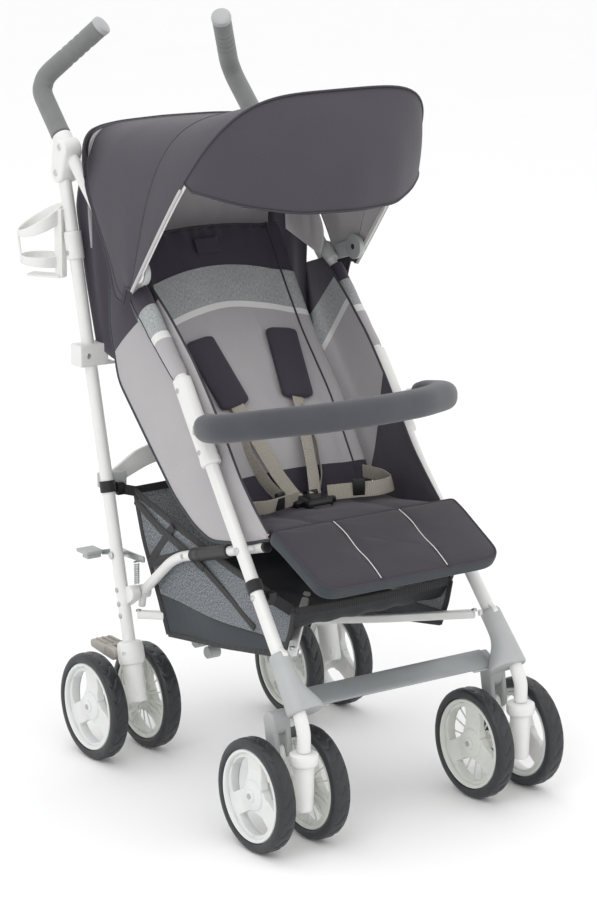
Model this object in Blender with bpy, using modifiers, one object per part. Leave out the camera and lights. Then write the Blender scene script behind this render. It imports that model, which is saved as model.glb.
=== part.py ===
"""Umbrella stroller with a lie-back seat, a canopy and double wheels, opened for use.

Metres, +Z up. The child faces -Y, so -X is the child's right side and +X the left.
The origin is on the ground, under the middle of the whole. Every outline and path below is
written as (y, z) for a side view, or (radius, height) for a turned shape.
"""

import bmesh
import bpy
from math import acos, atan2, cos, degrees, hypot, pi, radians, sin
from mathutils import Matrix, Vector

# Clearances
GAP = 0.0004            # between touching pieces
RUNNING = 0.0003        # radial play of a turning piece
LAYER = 0.0010          # between plates that pass each other

# Wheels
WHEEL_R = 0.0795
RIM_R = 0.0648
WHEEL_W = 0.028
RIM_W = 0.024
HUB_R = 0.0165
AXLE_R = 0.0040
FRONT_AXLE_Y = -0.181
REAR_AXLE_Y = 0.265
FRONT_HALF_TRACK = 0.186
REAR_HALF_TRACK = 0.174
FRONT_PAIR = 0.089
REAR_PAIR = 0.091
WHEEL_SIDES = 18
SPOKE_WINDOWS = 3

# Tubes of the side frames
MAIN_R = 0.0095
LEG_R = 0.0095
LINK_R = 0.0075
BAR_R = 0.0064
KINGPIN_Y = -0.2287
COLLAR_TOP_Z = 0.1450
KNEE_Z = 0.1815         # where the front leg turns upright above the caster
LOW_BEND = Vector((0.1693, -0.0073, 0.4500))
HIGH_BEND = Vector((0.1675, 0.1012, 0.6000))
HANDLE_START = Vector((0.1705, 0.4300, 0.9160))
HANDLE_KNEE = Vector((0.1690, 0.4830, 0.9700))
HANDLE_END = Vector((0.1030, 0.4060, 1.0580))
GRIP_R = 0.0145
LEG_TOP = Vector((REAR_HALF_TRACK, 0.4025, 0.8490))
LEG_FOOT = Vector((REAR_HALF_TRACK, 0.2190, 0.1000))

# Linkage
LINK_X = 0.1480
LINK_PIVOT_Z = 0.3850   # on the front leg
LINK_BEND = (0.1500, 0.3220)    # (y, z), as are the next three
LINK_REAR = (0.2385, 0.2496)
BAR_FRONT = (-0.1580, 0.2620)
BAR_REAR = (0.2400, 0.2150)
BAR_END_X = 0.1560
BAR_LIFT = 0.0080       # each bar bows this far past the other at their crossing
ARM_PIVOT_X = 0.1500
ARM_PIVOT_Z = 0.4080
ARM_TOP_Z = 0.4400
ARM_T = 0.0060
PIN_R = 0.0030

# Soft goods
SEAT_HALF_W = 0.1395
BACK_HALF_W = 0.1340
CALF_HALF_W = 0.1600
BASKET_HALF_W = 0.1360
CLOTH = 0.0030
HOOD_CLOTH = 0.0024
CANOPY_TIP = (0.192, 0.700)
CANOPY_HINGE = (0.174, 0.737)
CANOPY_HALF_W = 0.1950
CANOPY_NEST = 0.0040    # the rear panel lies this far inside the front one
BOW_INSET = 0.0074      # the bow's outer face lies this far under the crest's middle
BOW_SIDE = 0.1915
BOW_T = 0.0028
BOW_W = 0.0070
CANOPY_SQUARENESS = 4.4

COLLECTION = "UmbrellaStroller"
SIDES = (("right", -1.0), ("left", 1.0))

PALETTE = {
    "white_steel": ((0.78, 0.78, 0.77), 0.35, 0.0),
    "white_plastic": ((0.72, 0.72, 0.71), 0.45, 0.0),
    "grey_plastic": ((0.33, 0.34, 0.34), 0.5, 0.0),
    "taupe_plastic": ((0.30, 0.27, 0.24), 0.5, 0.0),
    "rim_plastic": ((0.66, 0.67, 0.67), 0.4, 0.0),
    "tyre_rubber": ((0.03, 0.03, 0.035), 0.85, 0.0),
    "foam": ((0.12, 0.125, 0.125), 0.9, 0.0),
    "bar_foam": ((0.085, 0.09, 0.10), 0.85, 0.0),
    "zinc_steel": ((0.55, 0.56, 0.56), 0.35, 0.9),
    "black_plastic": ((0.02, 0.02, 0.02), 0.45, 0.0),
    "canopy_cloth": ((0.095, 0.085, 0.11), 0.9, 0.0),
    "back_cloth": ((0.29, 0.28, 0.30), 0.9, 0.0),
    "seat_cloth": ((0.38, 0.37, 0.37), 0.9, 0.0),
    "calf_cloth": ((0.065, 0.06, 0.07), 0.9, 0.0),
    "basket_mesh": ((0.05, 0.055, 0.06), 0.9, 0.0),
}


def clear_scene():
    for item in list(bpy.data.objects):
        bpy.data.objects.remove(item, do_unlink=True)


def new_collection(name):
    collection = bpy.data.collections.new(name)
    bpy.context.scene.collection.children.link(collection)
    return collection


clear_scene()
PARTS = new_collection(COLLECTION)
CUTTERS = new_collection("Cutters")


def material(name):
    found = bpy.data.materials.get(name)
    if found:
        return found
    colour, roughness, metallic = PALETTE[name]
    made = bpy.data.materials.new(name)
    made.use_nodes = True
    shader = made.node_tree.nodes["Principled BSDF"]
    shader.inputs["Base Color"].default_value = (*colour, 1.0)
    shader.inputs["Roughness"].default_value = roughness
    shader.inputs["Metallic"].default_value = metallic
    return made


def place(name, mesh, matrix=None):
    made = bpy.data.objects.new(name, mesh)
    if matrix is not None:
        made.matrix_world = matrix
    PARTS.objects.link(made)
    return made


def finish(piece, name, finish_name, pivot=(0, 0, 0), smooth=True):
    """Names a piece, puts its origin on its joint's axis and gives it its material."""
    piece.data.transform(Matrix.Translation(-Vector(pivot)) @ piece.matrix_world)
    piece.matrix_world = Matrix.Translation(Vector(pivot))
    piece.name = name
    piece.data.name = name
    piece.data.materials.clear()
    piece.data.materials.append(material(finish_name))
    if smooth:
        piece.data.shade_smooth()
        piece.data.set_sharp_from_angle(angle=radians(35))
    return piece


def along(start, direction):
    """A matrix whose Z axis lies along direction, from start."""
    turn = Vector(direction).to_track_quat("Z", "Y").to_matrix().to_4x4()
    return Matrix.Translation(Vector(start)) @ turn


def rod(start, end, radius, sides=12, end_radius=None):
    """A cylinder or cone from start to end."""
    start, end = Vector(start), Vector(end)
    bm = bmesh.new()
    bmesh.ops.create_cone(
        bm,
        cap_ends=True,
        segments=sides,
        radius1=radius,
        radius2=radius if end_radius is None else end_radius,
        depth=(end - start).length,
    )
    mesh = bpy.data.meshes.new("rod")
    bm.to_mesh(mesh)
    bm.free()
    return place("rod", mesh, along((start + end) / 2, end - start))


def block(centre, size, bevel=0.0, turn=None):
    """A box with rounded edges."""
    bm = bmesh.new()
    bmesh.ops.create_cube(bm, size=1.0)
    bmesh.ops.scale(bm, vec=size, verts=bm.verts)
    if bevel:
        bmesh.ops.bevel(
            bm, geom=bm.edges[:], offset=bevel, segments=2, profile=0.5, affect="EDGES"
        )
    mesh = bpy.data.meshes.new("block")
    bm.to_mesh(mesh)
    bm.free()
    matrix = Matrix.Translation(Vector(centre))
    if turn is not None:
        matrix = matrix @ turn.to_4x4()
    return place("block", mesh, matrix)


def plate(outline, x_middle, thickness):
    """A flat piece cut to a side-view outline of (y, z) points, standing across X."""
    curve = bpy.data.curves.new("plate", "CURVE")
    curve.dimensions = "2D"
    curve.fill_mode = "BOTH"
    curve.extrude = thickness / 2
    spline = curve.splines.new("POLY")
    spline.points.add(len(outline) - 1)
    for point, (y, z) in zip(spline.points, outline):
        point.co = (y, z, 0.0, 1.0)
    spline.use_cyclic_u = True
    frame = Matrix(((0, 0, 1, x_middle), (1, 0, 0, 0), (0, 1, 0, 0), (0, 0, 0, 1)))
    return as_mesh(curve, frame)


def as_mesh(curve, matrix=None):
    """Turns a curve into a closed mesh object and drops the curve."""
    drawn = bpy.data.objects.new("curve", curve)
    PARTS.objects.link(drawn)
    if matrix is not None:
        drawn.matrix_world = matrix
    bpy.context.view_layer.update()
    mesh = bpy.data.meshes.new_from_object(
        drawn.evaluated_get(bpy.context.evaluated_depsgraph_get())
    )
    placed = drawn.matrix_world.copy()
    bpy.data.objects.remove(drawn, do_unlink=True)
    bm = bmesh.new()
    bm.from_mesh(mesh)
    bmesh.ops.remove_doubles(bm, verts=bm.verts, dist=0.00001)
    bmesh.ops.recalc_face_normals(bm, faces=bm.faces)
    bm.to_mesh(mesh)
    bm.free()
    return place("solid", mesh, placed)


def tube(points, radius, resolution=3):
    """A round bar through the points, with flat ends."""
    curve = bpy.data.curves.new("tube", "CURVE")
    curve.dimensions = "3D"
    curve.bevel_depth = radius
    curve.bevel_resolution = resolution
    curve.use_fill_caps = True
    spline = curve.splines.new("POLY")
    spline.points.add(len(points) - 1)
    for point, place_at in zip(spline.points, points):
        point.co = (*place_at, 1.0)
    return as_mesh(curve)


def rounded(corners, radius, steps=4):
    """A path through the corners, each inner corner turned into an arc of the radius."""
    corners = [Vector(c) for c in corners]
    path = [corners[0]]
    for before, corner, after in zip(corners, corners[1:], corners[2:]):
        a = (before - corner).normalized()
        b = (after - corner).normalized()
        half = a.angle(b) / 2
        reach = min(radius / abs(sin(half)) * cos(half), (before - corner).length * 0.48,
                    (after - corner).length * 0.48)
        first, last = corner + a * reach, corner + b * reach
        for i in range(steps + 1):
            t = i / steps
            path.append(first.lerp(corner, t).lerp(corner.lerp(last, t), t))
    path.append(corners[-1])
    return path


def turned(profile, start, direction, steps=WHEEL_SIDES):
    """A profile of (radius, height) points spun about the line from start along direction.

    A profile that begins and ends on the line is closed there, any other one is a ring.
    """
    on_axis = profile[0][0] < 1e-9 and profile[-1][0] < 1e-9
    bm = bmesh.new()
    points = [bm.verts.new((r, 0.0, h)) for r, h in profile]
    for a, b in zip(points, points[1:]):
        bm.edges.new((a, b))
    if not on_axis:
        bm.edges.new((points[-1], points[0]))
    mesh = bpy.data.meshes.new("turned")
    bm.to_mesh(mesh)
    bm.free()
    piece = place("turned", mesh, along(start, direction))
    screw = piece.modifiers.new("Spin", "SCREW")
    screw.axis = "Z"
    screw.angle = 2 * pi
    screw.steps = steps
    screw.render_steps = steps
    screw.use_merge_vertices = True
    screw.merge_threshold = 0.00001
    return settle(piece)


def settle(piece):
    """Replaces a piece's mesh by what its modifiers make of it."""
    bpy.context.view_layer.update()
    evaluated = piece.evaluated_get(bpy.context.evaluated_depsgraph_get())
    mesh = bpy.data.meshes.new_from_object(evaluated)
    piece.modifiers.clear()
    piece.data = mesh
    return piece


def combine(piece, other, operation):
    """Joins other to piece, or cuts it away, and keeps other as a hidden cutter."""
    step = piece.modifiers.new(operation.title(), "BOOLEAN")
    step.operation = operation
    step.solver = "EXACT"
    step.object = other
    bpy.context.view_layer.update()
    settle(piece)
    PARTS.objects.unlink(other)
    CUTTERS.objects.link(other)
    other.name = "cutter"
    other.hide_render = True
    other.display_type = "WIRE"
    other.hide_set(True)
    return piece


def join(piece, *others):
    for other in others:
        combine(piece, other, "UNION")
    return piece


def cut(piece, *others):
    for other in others:
        combine(piece, other, "DIFFERENCE")
    return piece


def sided(point, sign):
    """A point of the left side, mirrored when sign is negative."""
    return Vector((point[0] * sign, point[1], point[2]))


def lerp(a, b, t):
    return a + (b - a) * t


def on_line(a, b, z):
    """The point at height z on the line through a and b."""
    return a.lerp(b, (z - a.z) / (b.z - a.z))


def arc(centre, radius, start_deg, end_deg, steps):
    """Side-view points on an arc."""
    made = []
    for i in range(steps + 1):
        angle = radians(lerp(start_deg, end_deg, i / steps))
        made.append((centre[0] + radius * cos(angle), centre[1] + radius * sin(angle)))
    return made


def hull_of_circles(a, ra, b, rb, steps=6):
    """The outline of a belt round two circles, in side view."""
    heading = atan2(b[1] - a[1], b[0] - a[0])
    spread = acos(max(-1.0, min(1.0, (ra - rb) / hypot(b[0] - a[0], b[1] - a[1]))))
    first, last = degrees(heading + spread), degrees(heading - spread)
    return arc(a, ra, first, last + 360, steps) + arc(b, rb, last, first, steps)


# Lines that several pieces share, for the left side
MAIN_KNEE = Vector((FRONT_HALF_TRACK, KINGPIN_Y, KNEE_Z))
MAIN_FOOT = Vector((FRONT_HALF_TRACK, KINGPIN_Y, COLLAR_TOP_Z + GAP))


def main_at(z):
    """The centre of the front and handle tube at height z."""
    if z < LOW_BEND.z:
        return on_line(MAIN_KNEE, LOW_BEND, z)
    if z < HIGH_BEND.z:
        return on_line(LOW_BEND, HIGH_BEND, z)
    return on_line(HIGH_BEND, HANDLE_START, z)


def leg_at(z):
    return on_line(LEG_FOOT, LEG_TOP, z)


def main_path(z_low, z_high, sign):
    """The main tube's centre line between two heights, through its slight bends."""
    bends = [bend for bend in (LOW_BEND, HIGH_BEND) if z_low < bend.z < z_high]
    return [sided(p, sign) for p in [main_at(z_low), *bends, main_at(z_high)]]


LEG_AXIS = (LEG_TOP - LEG_FOOT).normalized()
MAIN_AXIS_UP = (HANDLE_START - HIGH_BEND).normalized()


def loft(rings, closed_ends=True):
    """A solid skinned over rings of equally many points, with its two ends filled."""
    bm = bmesh.new()
    rows = [[bm.verts.new(p) for p in ring] for ring in rings]
    count = len(rows[0])
    for low, high in zip(rows, rows[1:]):
        for i in range(count):
            j = (i + 1) % count
            bm.faces.new((low[i], low[j], high[j], high[i]))
    if closed_ends:
        bm.faces.new(list(reversed(rows[0])))
        bm.faces.new(rows[-1])
    bmesh.ops.recalc_face_normals(bm, faces=bm.faces)
    mesh = bpy.data.meshes.new("loft")
    bm.to_mesh(mesh)
    bm.free()
    return place("loft", mesh)


def sheet(grid, thickness):
    """A cloth of even thickness over a grid of points, thickened to both sides."""
    bm = bmesh.new()
    rows = [[bm.verts.new(p) for p in row] for row in grid]
    for low, high in zip(rows, rows[1:]):
        for a, b, c, d in zip(low, low[1:], high[1:], high):
            bm.faces.new((a, b, c, d))
    bmesh.ops.recalc_face_normals(bm, faces=bm.faces)
    mesh = bpy.data.meshes.new("sheet")
    bm.to_mesh(mesh)
    bm.free()
    piece = place("sheet", mesh)
    solid = piece.modifiers.new("Thickness", "SOLIDIFY")
    solid.thickness = thickness
    solid.offset = 0.0
    return settle(piece)


def strip(path, thickness, half_width):
    """A bent sheet that runs along a side-view path, across the whole width."""
    upper, lower = [], []
    for i, (y, z) in enumerate(path):
        before, after = path[max(i - 1, 0)], path[min(i + 1, len(path) - 1)]
        dy, dz = after[0] - before[0], after[1] - before[1]
        size = hypot(dy, dz)
        ny, nz = -dz / size * thickness / 2, dy / size * thickness / 2
        upper.append((y + ny, z + nz))
        lower.append((y - ny, z - nz))
    return plate(upper + lower[::-1], 0.0, 2 * half_width)


def pad(rows, thickness, half_widths, crown=0.35, levels=1):
    """A stuffed panel along a side-view path: crowned across, thin and drawn in at its edges.

    rows are (y, z) of its middle surface, half_widths its half width at each row.
    """
    across = (-1.0, -0.92, 0.0, 0.92, 1.0)
    rings = []
    last = len(rows) - 1
    for i, (y, z) in enumerate(rows):
        before, after = rows[max(i - 1, 0)], rows[min(i + 1, last)]
        dy, dz = after[0] - before[0], after[1] - before[1]
        size = hypot(dy, dz)
        ny, nz = -dz / size, dy / size
        ends = 0.45 if i in (0, last) else 1.0
        drawn_in = 0.985 if 0 < i < last else 1.0
        face, back = [], []
        for t in across:
            swell = (1.0 - crown * t * t) * (0.5 if abs(t) == 1.0 else 1.0)
            half = thickness / 2 * ends * swell
            x = t * half_widths[i] * drawn_in
            face.append((x, y + ny * half, z + nz * half))
            back.append((x, y - ny * half, z - nz * half))
        rings.append(face + back[::-1])
    piece = loft(rings)
    smooth = piece.modifiers.new("Soft", "SUBSURF")
    smooth.levels = levels
    smooth.render_levels = levels
    return settle(piece)


# Wheels


def wheel(name, centre, outward):
    """A spoked rim and its tyre. Outward is +1 or -1, the way along X that the rim's face looks."""
    centre = Vector(centre)
    axis = Vector((outward, 0, 0))
    bore = AXLE_R + RUNNING
    rim = turned(
        [(RIM_R, RIM_W / 2), (RIM_R, -RIM_W / 2), (RIM_R - 0.0045, -RIM_W / 2),
         (RIM_R - 0.0060, 0.0010), (HUB_R, -0.0020), (HUB_R, -0.0120), (bore, -0.0120),
         (bore, 0.0100), (HUB_R, 0.0040), (RIM_R - 0.0045, 0.0085)],
        centre, axis,
    )
    pitch = 360 / SPOKE_WINDOWS
    for i in range(SPOKE_WINDOWS):
        middle = 30 + i * pitch
        span = pitch * 0.36
        outline = arc((centre.y, centre.z), RIM_R - 0.0125, middle - span, middle + span, 4)
        outline += arc((centre.y, centre.z), HUB_R + 0.0075, middle + span * 0.55,
                       middle - span * 0.55, 2)
        cut(rim, plate(outline, centre.x, RIM_W * 1.5))
    finish(rim, name + "_rim", "rim_plastic", centre)

    flat = 1 / cos(pi / WHEEL_SIDES)     # the tread's flats, not its edges, are at the radius
    seat = RIM_R + GAP
    tyre = turned(
        [(seat * flat, 0.0115), (0.0725 * flat, WHEEL_W / 2), (WHEEL_R * flat, 0.0070),
         (WHEEL_R * flat, -0.0070), (0.0725 * flat, -WHEEL_W / 2), (seat * flat, -0.0115)],
        centre, axis,
    )
    if WHEEL_SIDES % 4 == 0:             # and one of them lies on the ground
        tyre.data.transform(Matrix.Rotation(pi / WHEEL_SIDES, 4, "Z"))
    finish(tyre, name + "_tyre", "tyre_rubber", centre)


def wheel_pair(place_name, side, sign, axle_y, half_track, spacing):
    middle = half_track * sign
    for which, step in (("outer", sign), ("inner", -sign)):
        wheel(f"{place_name}_{side}_{which}", (middle + step * spacing / 2, axle_y, WHEEL_R), step)


def axle(half_track, spacing, axle_y, sign):
    reach = spacing / 2 + RIM_W / 2 + 0.002
    middle = half_track * sign
    shaft = rod((middle - reach, axle_y, WHEEL_R), (middle + reach, axle_y, WHEEL_R), AXLE_R, 8)
    hub_reach = spacing / 2 - RIM_W / 2 - LAYER
    hub = rod((middle - hub_reach, axle_y, WHEEL_R), (middle + hub_reach, axle_y, WHEEL_R),
              0.0120, 10)
    return shaft, hub


# Front casters

FORK_PLATE_T = 0.0180
EAR_T = 0.0100
LOCK_PIVOT = (-0.1710, 0.1320)
LOCK_TIP = (-0.1640, 0.1740)


def caster_fork(side, sign):
    x = FRONT_HALF_TRACK * sign
    top = COLLAR_TOP_Z
    stem = turned(
        [(0, top), (0.0185, top), (0.0200, top - 0.0030), (0.0200, top - 0.0150),
         (0.0142, top - 0.0200), (0.0125, 0.0640), (0, 0.0620)],
        (x, KINGPIN_Y, 0), (0, 0, 1), 14,
    )
    pin = rod((x, KINGPIN_Y, top - 0.01), (x, KINGPIN_Y, top + 0.026), 0.0050, 12)
    web = plate(
        hull_of_circles((KINGPIN_Y, 0.0860), 0.0110, (FRONT_AXLE_Y, WHEEL_R), 0.0160), x,
        FORK_PLATE_T,
    )
    ear = plate(hull_of_circles((FRONT_AXLE_Y, WHEEL_R), 0.0130, LOCK_PIVOT, 0.0070), x, EAR_T)
    shaft, hub = axle(FRONT_HALF_TRACK, FRONT_PAIR, FRONT_AXLE_Y, sign)
    join(stem, web, ear, hub, shaft, pin)
    lock_pin = rod((x - 0.0150, *LOCK_PIVOT), (x + 0.0150, *LOCK_PIVOT), PIN_R, 10)
    join(stem, lock_pin)
    finish(stem, f"caster_fork_{side}", "white_plastic", (x, KINGPIN_Y, 0))


def swivel_lock(side, sign):
    x = FRONT_HALF_TRACK * sign
    lever = plate(hull_of_circles(LOCK_PIVOT, 0.0115, LOCK_TIP, 0.0125), x, 0.0290)
    slot = plate(hull_of_circles(LOCK_PIVOT, 0.0130, (LOCK_PIVOT[0] - 0.010, 0.0950), 0.0180), x,
                 EAR_T + 2 * LAYER)
    hole = rod((x - 0.03, *LOCK_PIVOT), (x + 0.03, *LOCK_PIVOT), PIN_R + RUNNING, 10)
    cut(lever, slot, hole)
    finish(lever, f"swivel_lock_{side}", "grey_plastic", (x, *LOCK_PIVOT))


# Side frames

KNUCKLE_T = 0.0310
KNUCKLE_X = REAR_HALF_TRACK - 0.0015
KNUCKLE_MAIN_Z = 0.8820
SLOT_HALF = 0.0103
BRACKET_LOW_Z = 0.2040
BRACKET_HIGH_Z = 0.2480
STRIP_AT = Vector((0.0, -0.1860, 0.2040))
STRIP_WIDE = 0.0360
STRIP_LEAN = Matrix.Rotation(radians(-63.4), 3, "X")
BRACKET_R = 0.0155
SLEEVE_LOW_Z = 0.4880
SLEEVE_HIGH_Z = 0.5960
SLEEVE_R = 0.0138
CLAMP_Z = 0.7200
GRIP_START = 0.9020


def handle_path(sign):
    """From the handle tube's straight run, inward and forward over the bend to the end."""
    corners = [main_at(GRIP_START), HANDLE_KNEE, HANDLE_END]
    return [sided(p, sign) for p in rounded(corners, 0.045, 6)]


def main_tube(side, sign):
    low = [MAIN_FOOT, MAIN_KNEE, main_at(0.26)]
    path = [sided(p, sign) for p in rounded(low, 0.05, 4)[:-1]]
    path += main_path(0.26, GRIP_START, sign)
    path += handle_path(sign)[1:]
    end = path[-1] + (path[-2] - path[-1]).normalized() * 0.006
    bar = tube(path[:-1] + [end], MAIN_R)
    x = FRONT_HALF_TRACK * sign
    bore = rod((x, KINGPIN_Y, MAIN_FOOT.z - 0.01), (x, KINGPIN_Y, COLLAR_TOP_Z + 0.028),
               0.0050 + RUNNING, 12)
    cut(bar, bore)
    pivot = main_at(LINK_PIVOT_Z)
    stub = rod(sided(pivot, sign), sided((LINK_X + LINK_R + LAYER, pivot.y, pivot.z), sign),
               0.0050, 10)
    bolt_at = Vector((BAR_END_X + BAR_R + LAYER, *BAR_FRONT))
    bolt = rod(sided(main_at(BAR_FRONT[1] - 0.002), sign), sided(bolt_at, sign), 0.0045, 10)
    join(bar, stub, bolt)
    finish(bar, f"main_tube_{side}", "white_steel")


def handle_grip(side, sign):
    path = handle_path(sign)
    start = sided(main_at(GRIP_START), sign)
    core = tube(path, MAIN_R + GAP)
    grip = tube([start] + path[1:], GRIP_R, 3)
    cap = rod(path[-1] - (path[-1] - path[-2]).normalized() * 0.006,
              path[-1] + (path[-1] - path[-2]).normalized() * 0.004, GRIP_R * 1.04, 14)
    cut(grip, core)
    join(grip, cap)
    finish(grip, f"handle_grip_{side}", "foam")


def knuckle(side, sign):
    main = main_at(KNUCKLE_MAIN_Z)
    outline = hull_of_circles((main.y, main.z), 0.0185, (LEG_TOP.y, LEG_TOP.z), 0.0150)
    x = KNUCKLE_X * sign
    piece = plate(outline, x, KNUCKLE_T)
    slot = rod(((LEG_TOP.x - SLOT_HALF) * sign, LEG_TOP.y, LEG_TOP.z),
               ((LEG_TOP.x + SLOT_HALF) * sign, LEG_TOP.y, LEG_TOP.z), 0.0170, 16)
    passage = tube(main_path(0.80, GRIP_START, sign), MAIN_R + GAP)
    cut(piece, slot, passage)
    pin = rod((x - KNUCKLE_T / 2 + 0.001, LEG_TOP.y, LEG_TOP.z),
              (x + KNUCKLE_T / 2 - 0.001, LEG_TOP.y, LEG_TOP.z), PIN_R, 10)
    join(piece, pin)
    finish(piece, f"knuckle_{side}", "white_plastic", sided(LEG_TOP, sign))


def armrest_sleeve(side, sign):
    piece = tube(main_path(SLEEVE_LOW_Z, SLEEVE_HIGH_Z, sign), SLEEVE_R)
    end, before = BUMPER_HALF[0], BUMPER_HALF[1]
    mouth = end + (end - before).normalized() * 0.0048
    socket = rod(sided(mouth, sign), sided(SOCKET_ROOT, sign), 0.0110, 12)
    join(piece, socket)
    well = block(sided(SOCKET_BUTTON + Vector((0.0012, 0, 0)), sign), (0.0120, 0.0112, 0.0132))
    cut(piece, tube(main_path(SLEEVE_LOW_Z - 0.03, SLEEVE_HIGH_Z + 0.03, sign), MAIN_R + GAP),
        well)
    finish(piece, f"armrest_sleeve_{side}", "white_plastic")


def bar_button(side, sign):
    piece = block(sided(SOCKET_BUTTON, sign), (0.0066, 0.0104, 0.0124), 0.001)
    finish(piece, f"bar_button_{side}", "grey_plastic", sided(SOCKET_BUTTON, sign))


def foot_bracket(side, sign):
    low, high = sided(main_at(BRACKET_LOW_Z), sign), sided(main_at(BRACKET_HIGH_Z), sign)
    piece = rod(low, high, BRACKET_R * 1.08, 12, BRACKET_R)
    under = STRIP_AT + STRIP_LEAN @ Vector((0, 0.0046, 0))
    tongue = block(sided((0.1490, under.y, under.z), sign), (0.0520, 0.0050, 0.0240), 0.001,
                   STRIP_LEAN)
    rib = rod(sided((0.1680, under.y, under.z), sign), sided(main_at(0.2200), sign), 0.0060, 10)
    join(piece, rib)
    join(piece, tongue)
    cut(piece, tube([sided(main_at(0.16), sign), sided(main_at(0.28), sign)], MAIN_R + GAP))
    finish(piece, f"foot_bracket_{side}", "grey_plastic")


def canopy_joint(side, sign):
    at = main_at(CLAMP_Z)
    low = sided(at - MAIN_AXIS_UP * 0.014, sign)
    high = sided(at + MAIN_AXIS_UP * 0.014, sign)
    piece = rod(low, high, 0.0140, 14)
    arm = plate(hull_of_circles((at.y, at.z), 0.0105, CANOPY_HINGE, 0.0120), 0.1840 * sign, 0.0080)
    disc = rod(sided((0.1800, *CANOPY_HINGE), sign), sided((0.1882, *CANOPY_HINGE), sign),
               0.0185, 16)
    join(piece, arm, disc)
    cut(piece, tube(main_path(CLAMP_Z - 0.05, CLAMP_Z + 0.05, sign), MAIN_R + GAP))
    finish(piece, f"canopy_joint_{side}", "grey_plastic")


# Rear legs

ARM_LAYER_Y = {"right": 0.0, "left": 1.0}
LEG_BACK = LEG_R / cos(atan2(LEG_TOP.y - LEG_FOOT.y, LEG_TOP.z - LEG_FOOT.z))


def arm_y(side):
    """The middle of an arch arm's thickness: the two arms pass each other in two layers."""
    first = leg_at(ARM_PIVOT_Z + 0.016).y + LEG_BACK + LAYER + ARM_T / 2
    return first + ARM_LAYER_Y[side] * (ARM_T + LAYER)


def rear_leg(side, sign):
    top = LEG_TOP + LEG_AXIS * 0.0095
    leg = rod(sided(LEG_FOOT, sign), sided(top, sign), LEG_R, 12)
    catch = plate(
        hull_of_circles(LINK_REAR, 0.0115, (leg_at(0.2380).y, 0.2380), 0.0105),
        (LEG_TOP.x - 0.0075) * sign, 0.0150,
    )
    lug_back = arm_y(side) - ARM_T / 2 - LAYER
    lug_front = leg_at(ARM_PIVOT_Z).y - 0.002
    lug = block(((LEG_TOP.x + ARM_PIVOT_X) / 2 * sign, (lug_back + lug_front) / 2, ARM_PIVOT_Z),
                (LEG_TOP.x - ARM_PIVOT_X + 0.018, lug_back - lug_front, 0.0220), 0.001)
    pin = rod((ARM_PIVOT_X * sign, lug_front + 0.003, ARM_PIVOT_Z),
              (ARM_PIVOT_X * sign, arm_y(side) + ARM_T / 2 + 0.002, ARM_PIVOT_Z), PIN_R, 10)
    join(leg, catch, lug, pin)
    hole = rod(sided((LEG_TOP.x - 0.03, LEG_TOP.y, LEG_TOP.z), sign),
               sided((LEG_TOP.x + 0.03, LEG_TOP.y, LEG_TOP.z), sign), PIN_R + RUNNING, 10)
    cut(leg, hole)
    if sign < 0:
        cut(leg, lever_pin(0.0, RUNNING))
    finish(leg, f"rear_leg_{side}", "white_steel", sided(LEG_TOP, sign))


BRAKE_PIVOT = (0.2600, 0.1540)


def rear_housing(side, sign):
    x = REAR_HALF_TRACK * sign
    low, high = leg_at(0.0900), leg_at(0.1560)
    piece = rod(sided(low, sign), sided(high, sign), 0.0150, 12, 0.0155)
    crown = rod(sided(leg_at(0.1450), sign), sided(leg_at(0.1750), sign), 0.0195, 12, 0.0165)
    web = plate(hull_of_circles((low.y + 0.004, 0.1050), 0.0150, (REAR_AXLE_Y, WHEEL_R), 0.0165),
                x, FORK_PLATE_T)
    ear = plate(hull_of_circles((leg_at(0.15).y, 0.1450), 0.0120, BRAKE_PIVOT, 0.0075), x, EAR_T)
    shaft, hub = axle(REAR_HALF_TRACK, REAR_PAIR, REAR_AXLE_Y, sign)
    join(piece, crown, web, ear, hub, shaft)
    pin = rod((x - 0.0160, *BRAKE_PIVOT), (x + 0.0160, *BRAKE_PIVOT), PIN_R, 10)
    join(piece, pin)
    cut(piece, rod(sided(LEG_FOOT - LEG_AXIS * GAP, sign), sided(leg_at(0.20), sign),
                   LEG_R + GAP, 12))
    finish(piece, f"rear_housing_{side}", "white_plastic", (x, REAR_AXLE_Y, WHEEL_R))


def brake_pedal(side, sign):
    x = REAR_HALF_TRACK * sign
    tip = (BRAKE_PIVOT[0] + 0.0560, BRAKE_PIVOT[1] + 0.0030)
    pedal = plate(hull_of_circles(BRAKE_PIVOT, 0.0085, tip, 0.0060), x, 0.0360)
    slot = block((x, BRAKE_PIVOT[0] - 0.006, BRAKE_PIVOT[1]), (EAR_T + 2 * LAYER, 0.0330, 0.0300))
    hole = rod((x - 0.03, *BRAKE_PIVOT), (x + 0.03, *BRAKE_PIVOT), PIN_R + RUNNING, 10)
    cut(pedal, slot, hole)
    finish(pedal, f"brake_pedal_{side}", "taupe_plastic", (x, *BRAKE_PIVOT))


# Linkage


def seat_link(side, sign):
    pivot = main_at(LINK_PIVOT_Z)
    front = Vector((LINK_X, pivot.y, pivot.z))
    heading = (front - Vector((LINK_X, *LINK_BEND))).normalized()
    corners = [Vector((LINK_X, *LINK_REAR)), Vector((LINK_X, *LINK_BEND)),
               front + heading * 0.026]
    bar = tube([sided(p, sign) for p in rounded(corners, 0.06, 4)], LINK_R)
    eye = rod(sided((LINK_X - LINK_R, *LINK_REAR), sign), sided((LINK_X + LINK_R, *LINK_REAR), sign),
              0.0105, 14)
    hanger = rod(sided((LINK_X, *LINK_REAR), sign),
                 sided((LINK_X, BAR_REAR[0] + 0.004, BAR_REAR[1] + 0.0105), sign), 0.0055, 10)
    join(bar, eye, hanger)
    finish(bar, f"seat_link_{side}", "white_steel", sided(front, sign))


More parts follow.
